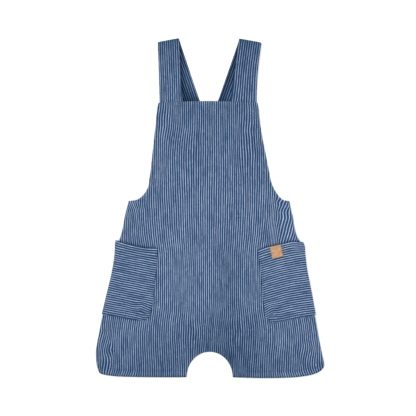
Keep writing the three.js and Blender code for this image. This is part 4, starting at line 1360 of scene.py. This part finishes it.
class SHORTALLS_OT_stage(bpy.types.Operator):
    """Set up the pale floor, the soft light and the camera straight above"""

    bl_idname = "shortalls.stage"
    bl_label = "Studio"

    def execute(self, context):
        studio = context.scene.shortalls_studio
        add_floor(studio)
        add_camera(studio)
        add_area_light("key_light", *KEY_LIGHT, studio.key_power)
        add_area_light("fill_light", *FILL_LIGHT, studio.fill_power)
        world = bpy.data.worlds.new("studio")
        world.use_nodes = True
        background = world.node_tree.nodes["Background"]
        background.inputs["Color"].default_value = WHITE
        background.inputs["Strength"].default_value = studio.dome
        context.scene.world = world
        context.scene.view_settings.view_transform = "Standard"
        return {"FINISHED"}


def add_floor(studio):
    """Plain pale table, just under the garment."""
    corners = np.array([(-1, -1), (1, -1), (1, 1), (-1, 1)]) * FLOOR_REACH
    floor = mesh_object("floor", xyz(corners[:, 0], corners[:, 1], np.full(4, FLOOR_Z)), [(0, 1, 2, 3)])
    shader = Shader("floor_paint")
    grain = shader.noise(shader.place(), scale=60.0)
    darker = tuple(0.985 * channel for channel in studio.floor_colour)
    floor.data.materials.append(shader.finish(
        Base_Color=shader.blend(darker, studio.floor_colour, grain), Roughness=0.9,
        Emission_Color=WHITE, Emission_Strength=studio.floor_glow,
    ))


def add_camera(studio):
    """Camera looking straight down, with one picture's width equal to the photograph's at the garment."""
    lens = bpy.data.cameras.new("camera")
    lens.type = "PERSP"
    lens.lens = studio.lens
    lens.sensor_width = 36.0
    width = FRAME_PIXELS * MM_PER_PIXEL * MM
    camera = bpy.data.objects.new("camera", lens)
    middle = FRAME_PIXELS / 2
    camera.location = (
        (middle - GARMENT_MIDDLE_PIXEL[0]) * MM_PER_PIXEL * MM,
        (GARMENT_MIDDLE_PIXEL[1] - middle) * MM_PER_PIXEL * MM,
        width * studio.lens / lens.sensor_width + CAD_HIGH[2] / 2,
    )
    bpy.context.scene.collection.objects.link(camera)
    bpy.context.scene.camera = camera


def add_area_light(name, place, size, power):
    """Square soft light at a place, turned to face the garment."""
    light = bpy.data.lights.new(name, "AREA")
    light.size = size
    light.energy = power
    lamp = bpy.data.objects.new(name, light)
    lamp.location = place
    lamp.rotation_euler = (-Vector(place)).to_track_quat("-Z", "Y").to_euler()
    bpy.context.scene.collection.objects.link(lamp)


class SHORTALLS_PT_sidebar(bpy.types.Panel):
    """Lists the shortalls' pieces and sizes"""

    bl_idname = "SHORTALLS_PT_sidebar"
    bl_label = "Shortalls"
    bl_space_type = "VIEW_3D"
    bl_region_type = "UI"
    bl_category = "Shortalls"

    def draw(self, context):
        for operator in OPERATORS:
            self.layout.operator(operator.bl_idname)
        for group in (context.scene.shortalls_cloth, context.scene.shortalls_studio):
            for name in group.bl_rna.properties.keys():
                if name not in {"rna_type", "name"}:
                    self.layout.prop(group, name)


OPERATORS = (
    SHORTALLS_OT_body, SHORTALLS_OT_pockets, SHORTALLS_OT_straps, SHORTALLS_OT_label,
    SHORTALLS_OT_stitches, SHORTALLS_OT_stage,
)
CLASSES = (ShortallsCloth, ShortallsStudio, *OPERATORS, SHORTALLS_PT_sidebar)


def register():
    """Registers the classes and hangs the two groups of settings on the scene."""
    for each in CLASSES:
        bpy.utils.register_class(each)
    bpy.types.Scene.shortalls_cloth = PointerProperty(type=ShortallsCloth)
    bpy.types.Scene.shortalls_studio = PointerProperty(type=ShortallsStudio)


def unregister():
    """Takes the settings and the classes away again."""
    del bpy.types.Scene.shortalls_studio
    del bpy.types.Scene.shortalls_cloth
    for each in reversed(CLASSES):
        bpy.utils.unregister_class(each)


def main():
    register()
    bpy.ops.shortalls.body()
    bpy.ops.shortalls.pockets()
    bpy.ops.shortalls.straps()
    bpy.ops.shortalls.label()
    bpy.ops.shortalls.stitches()
    bpy.ops.shortalls.stage()


if __name__ == "__main__":
    main()
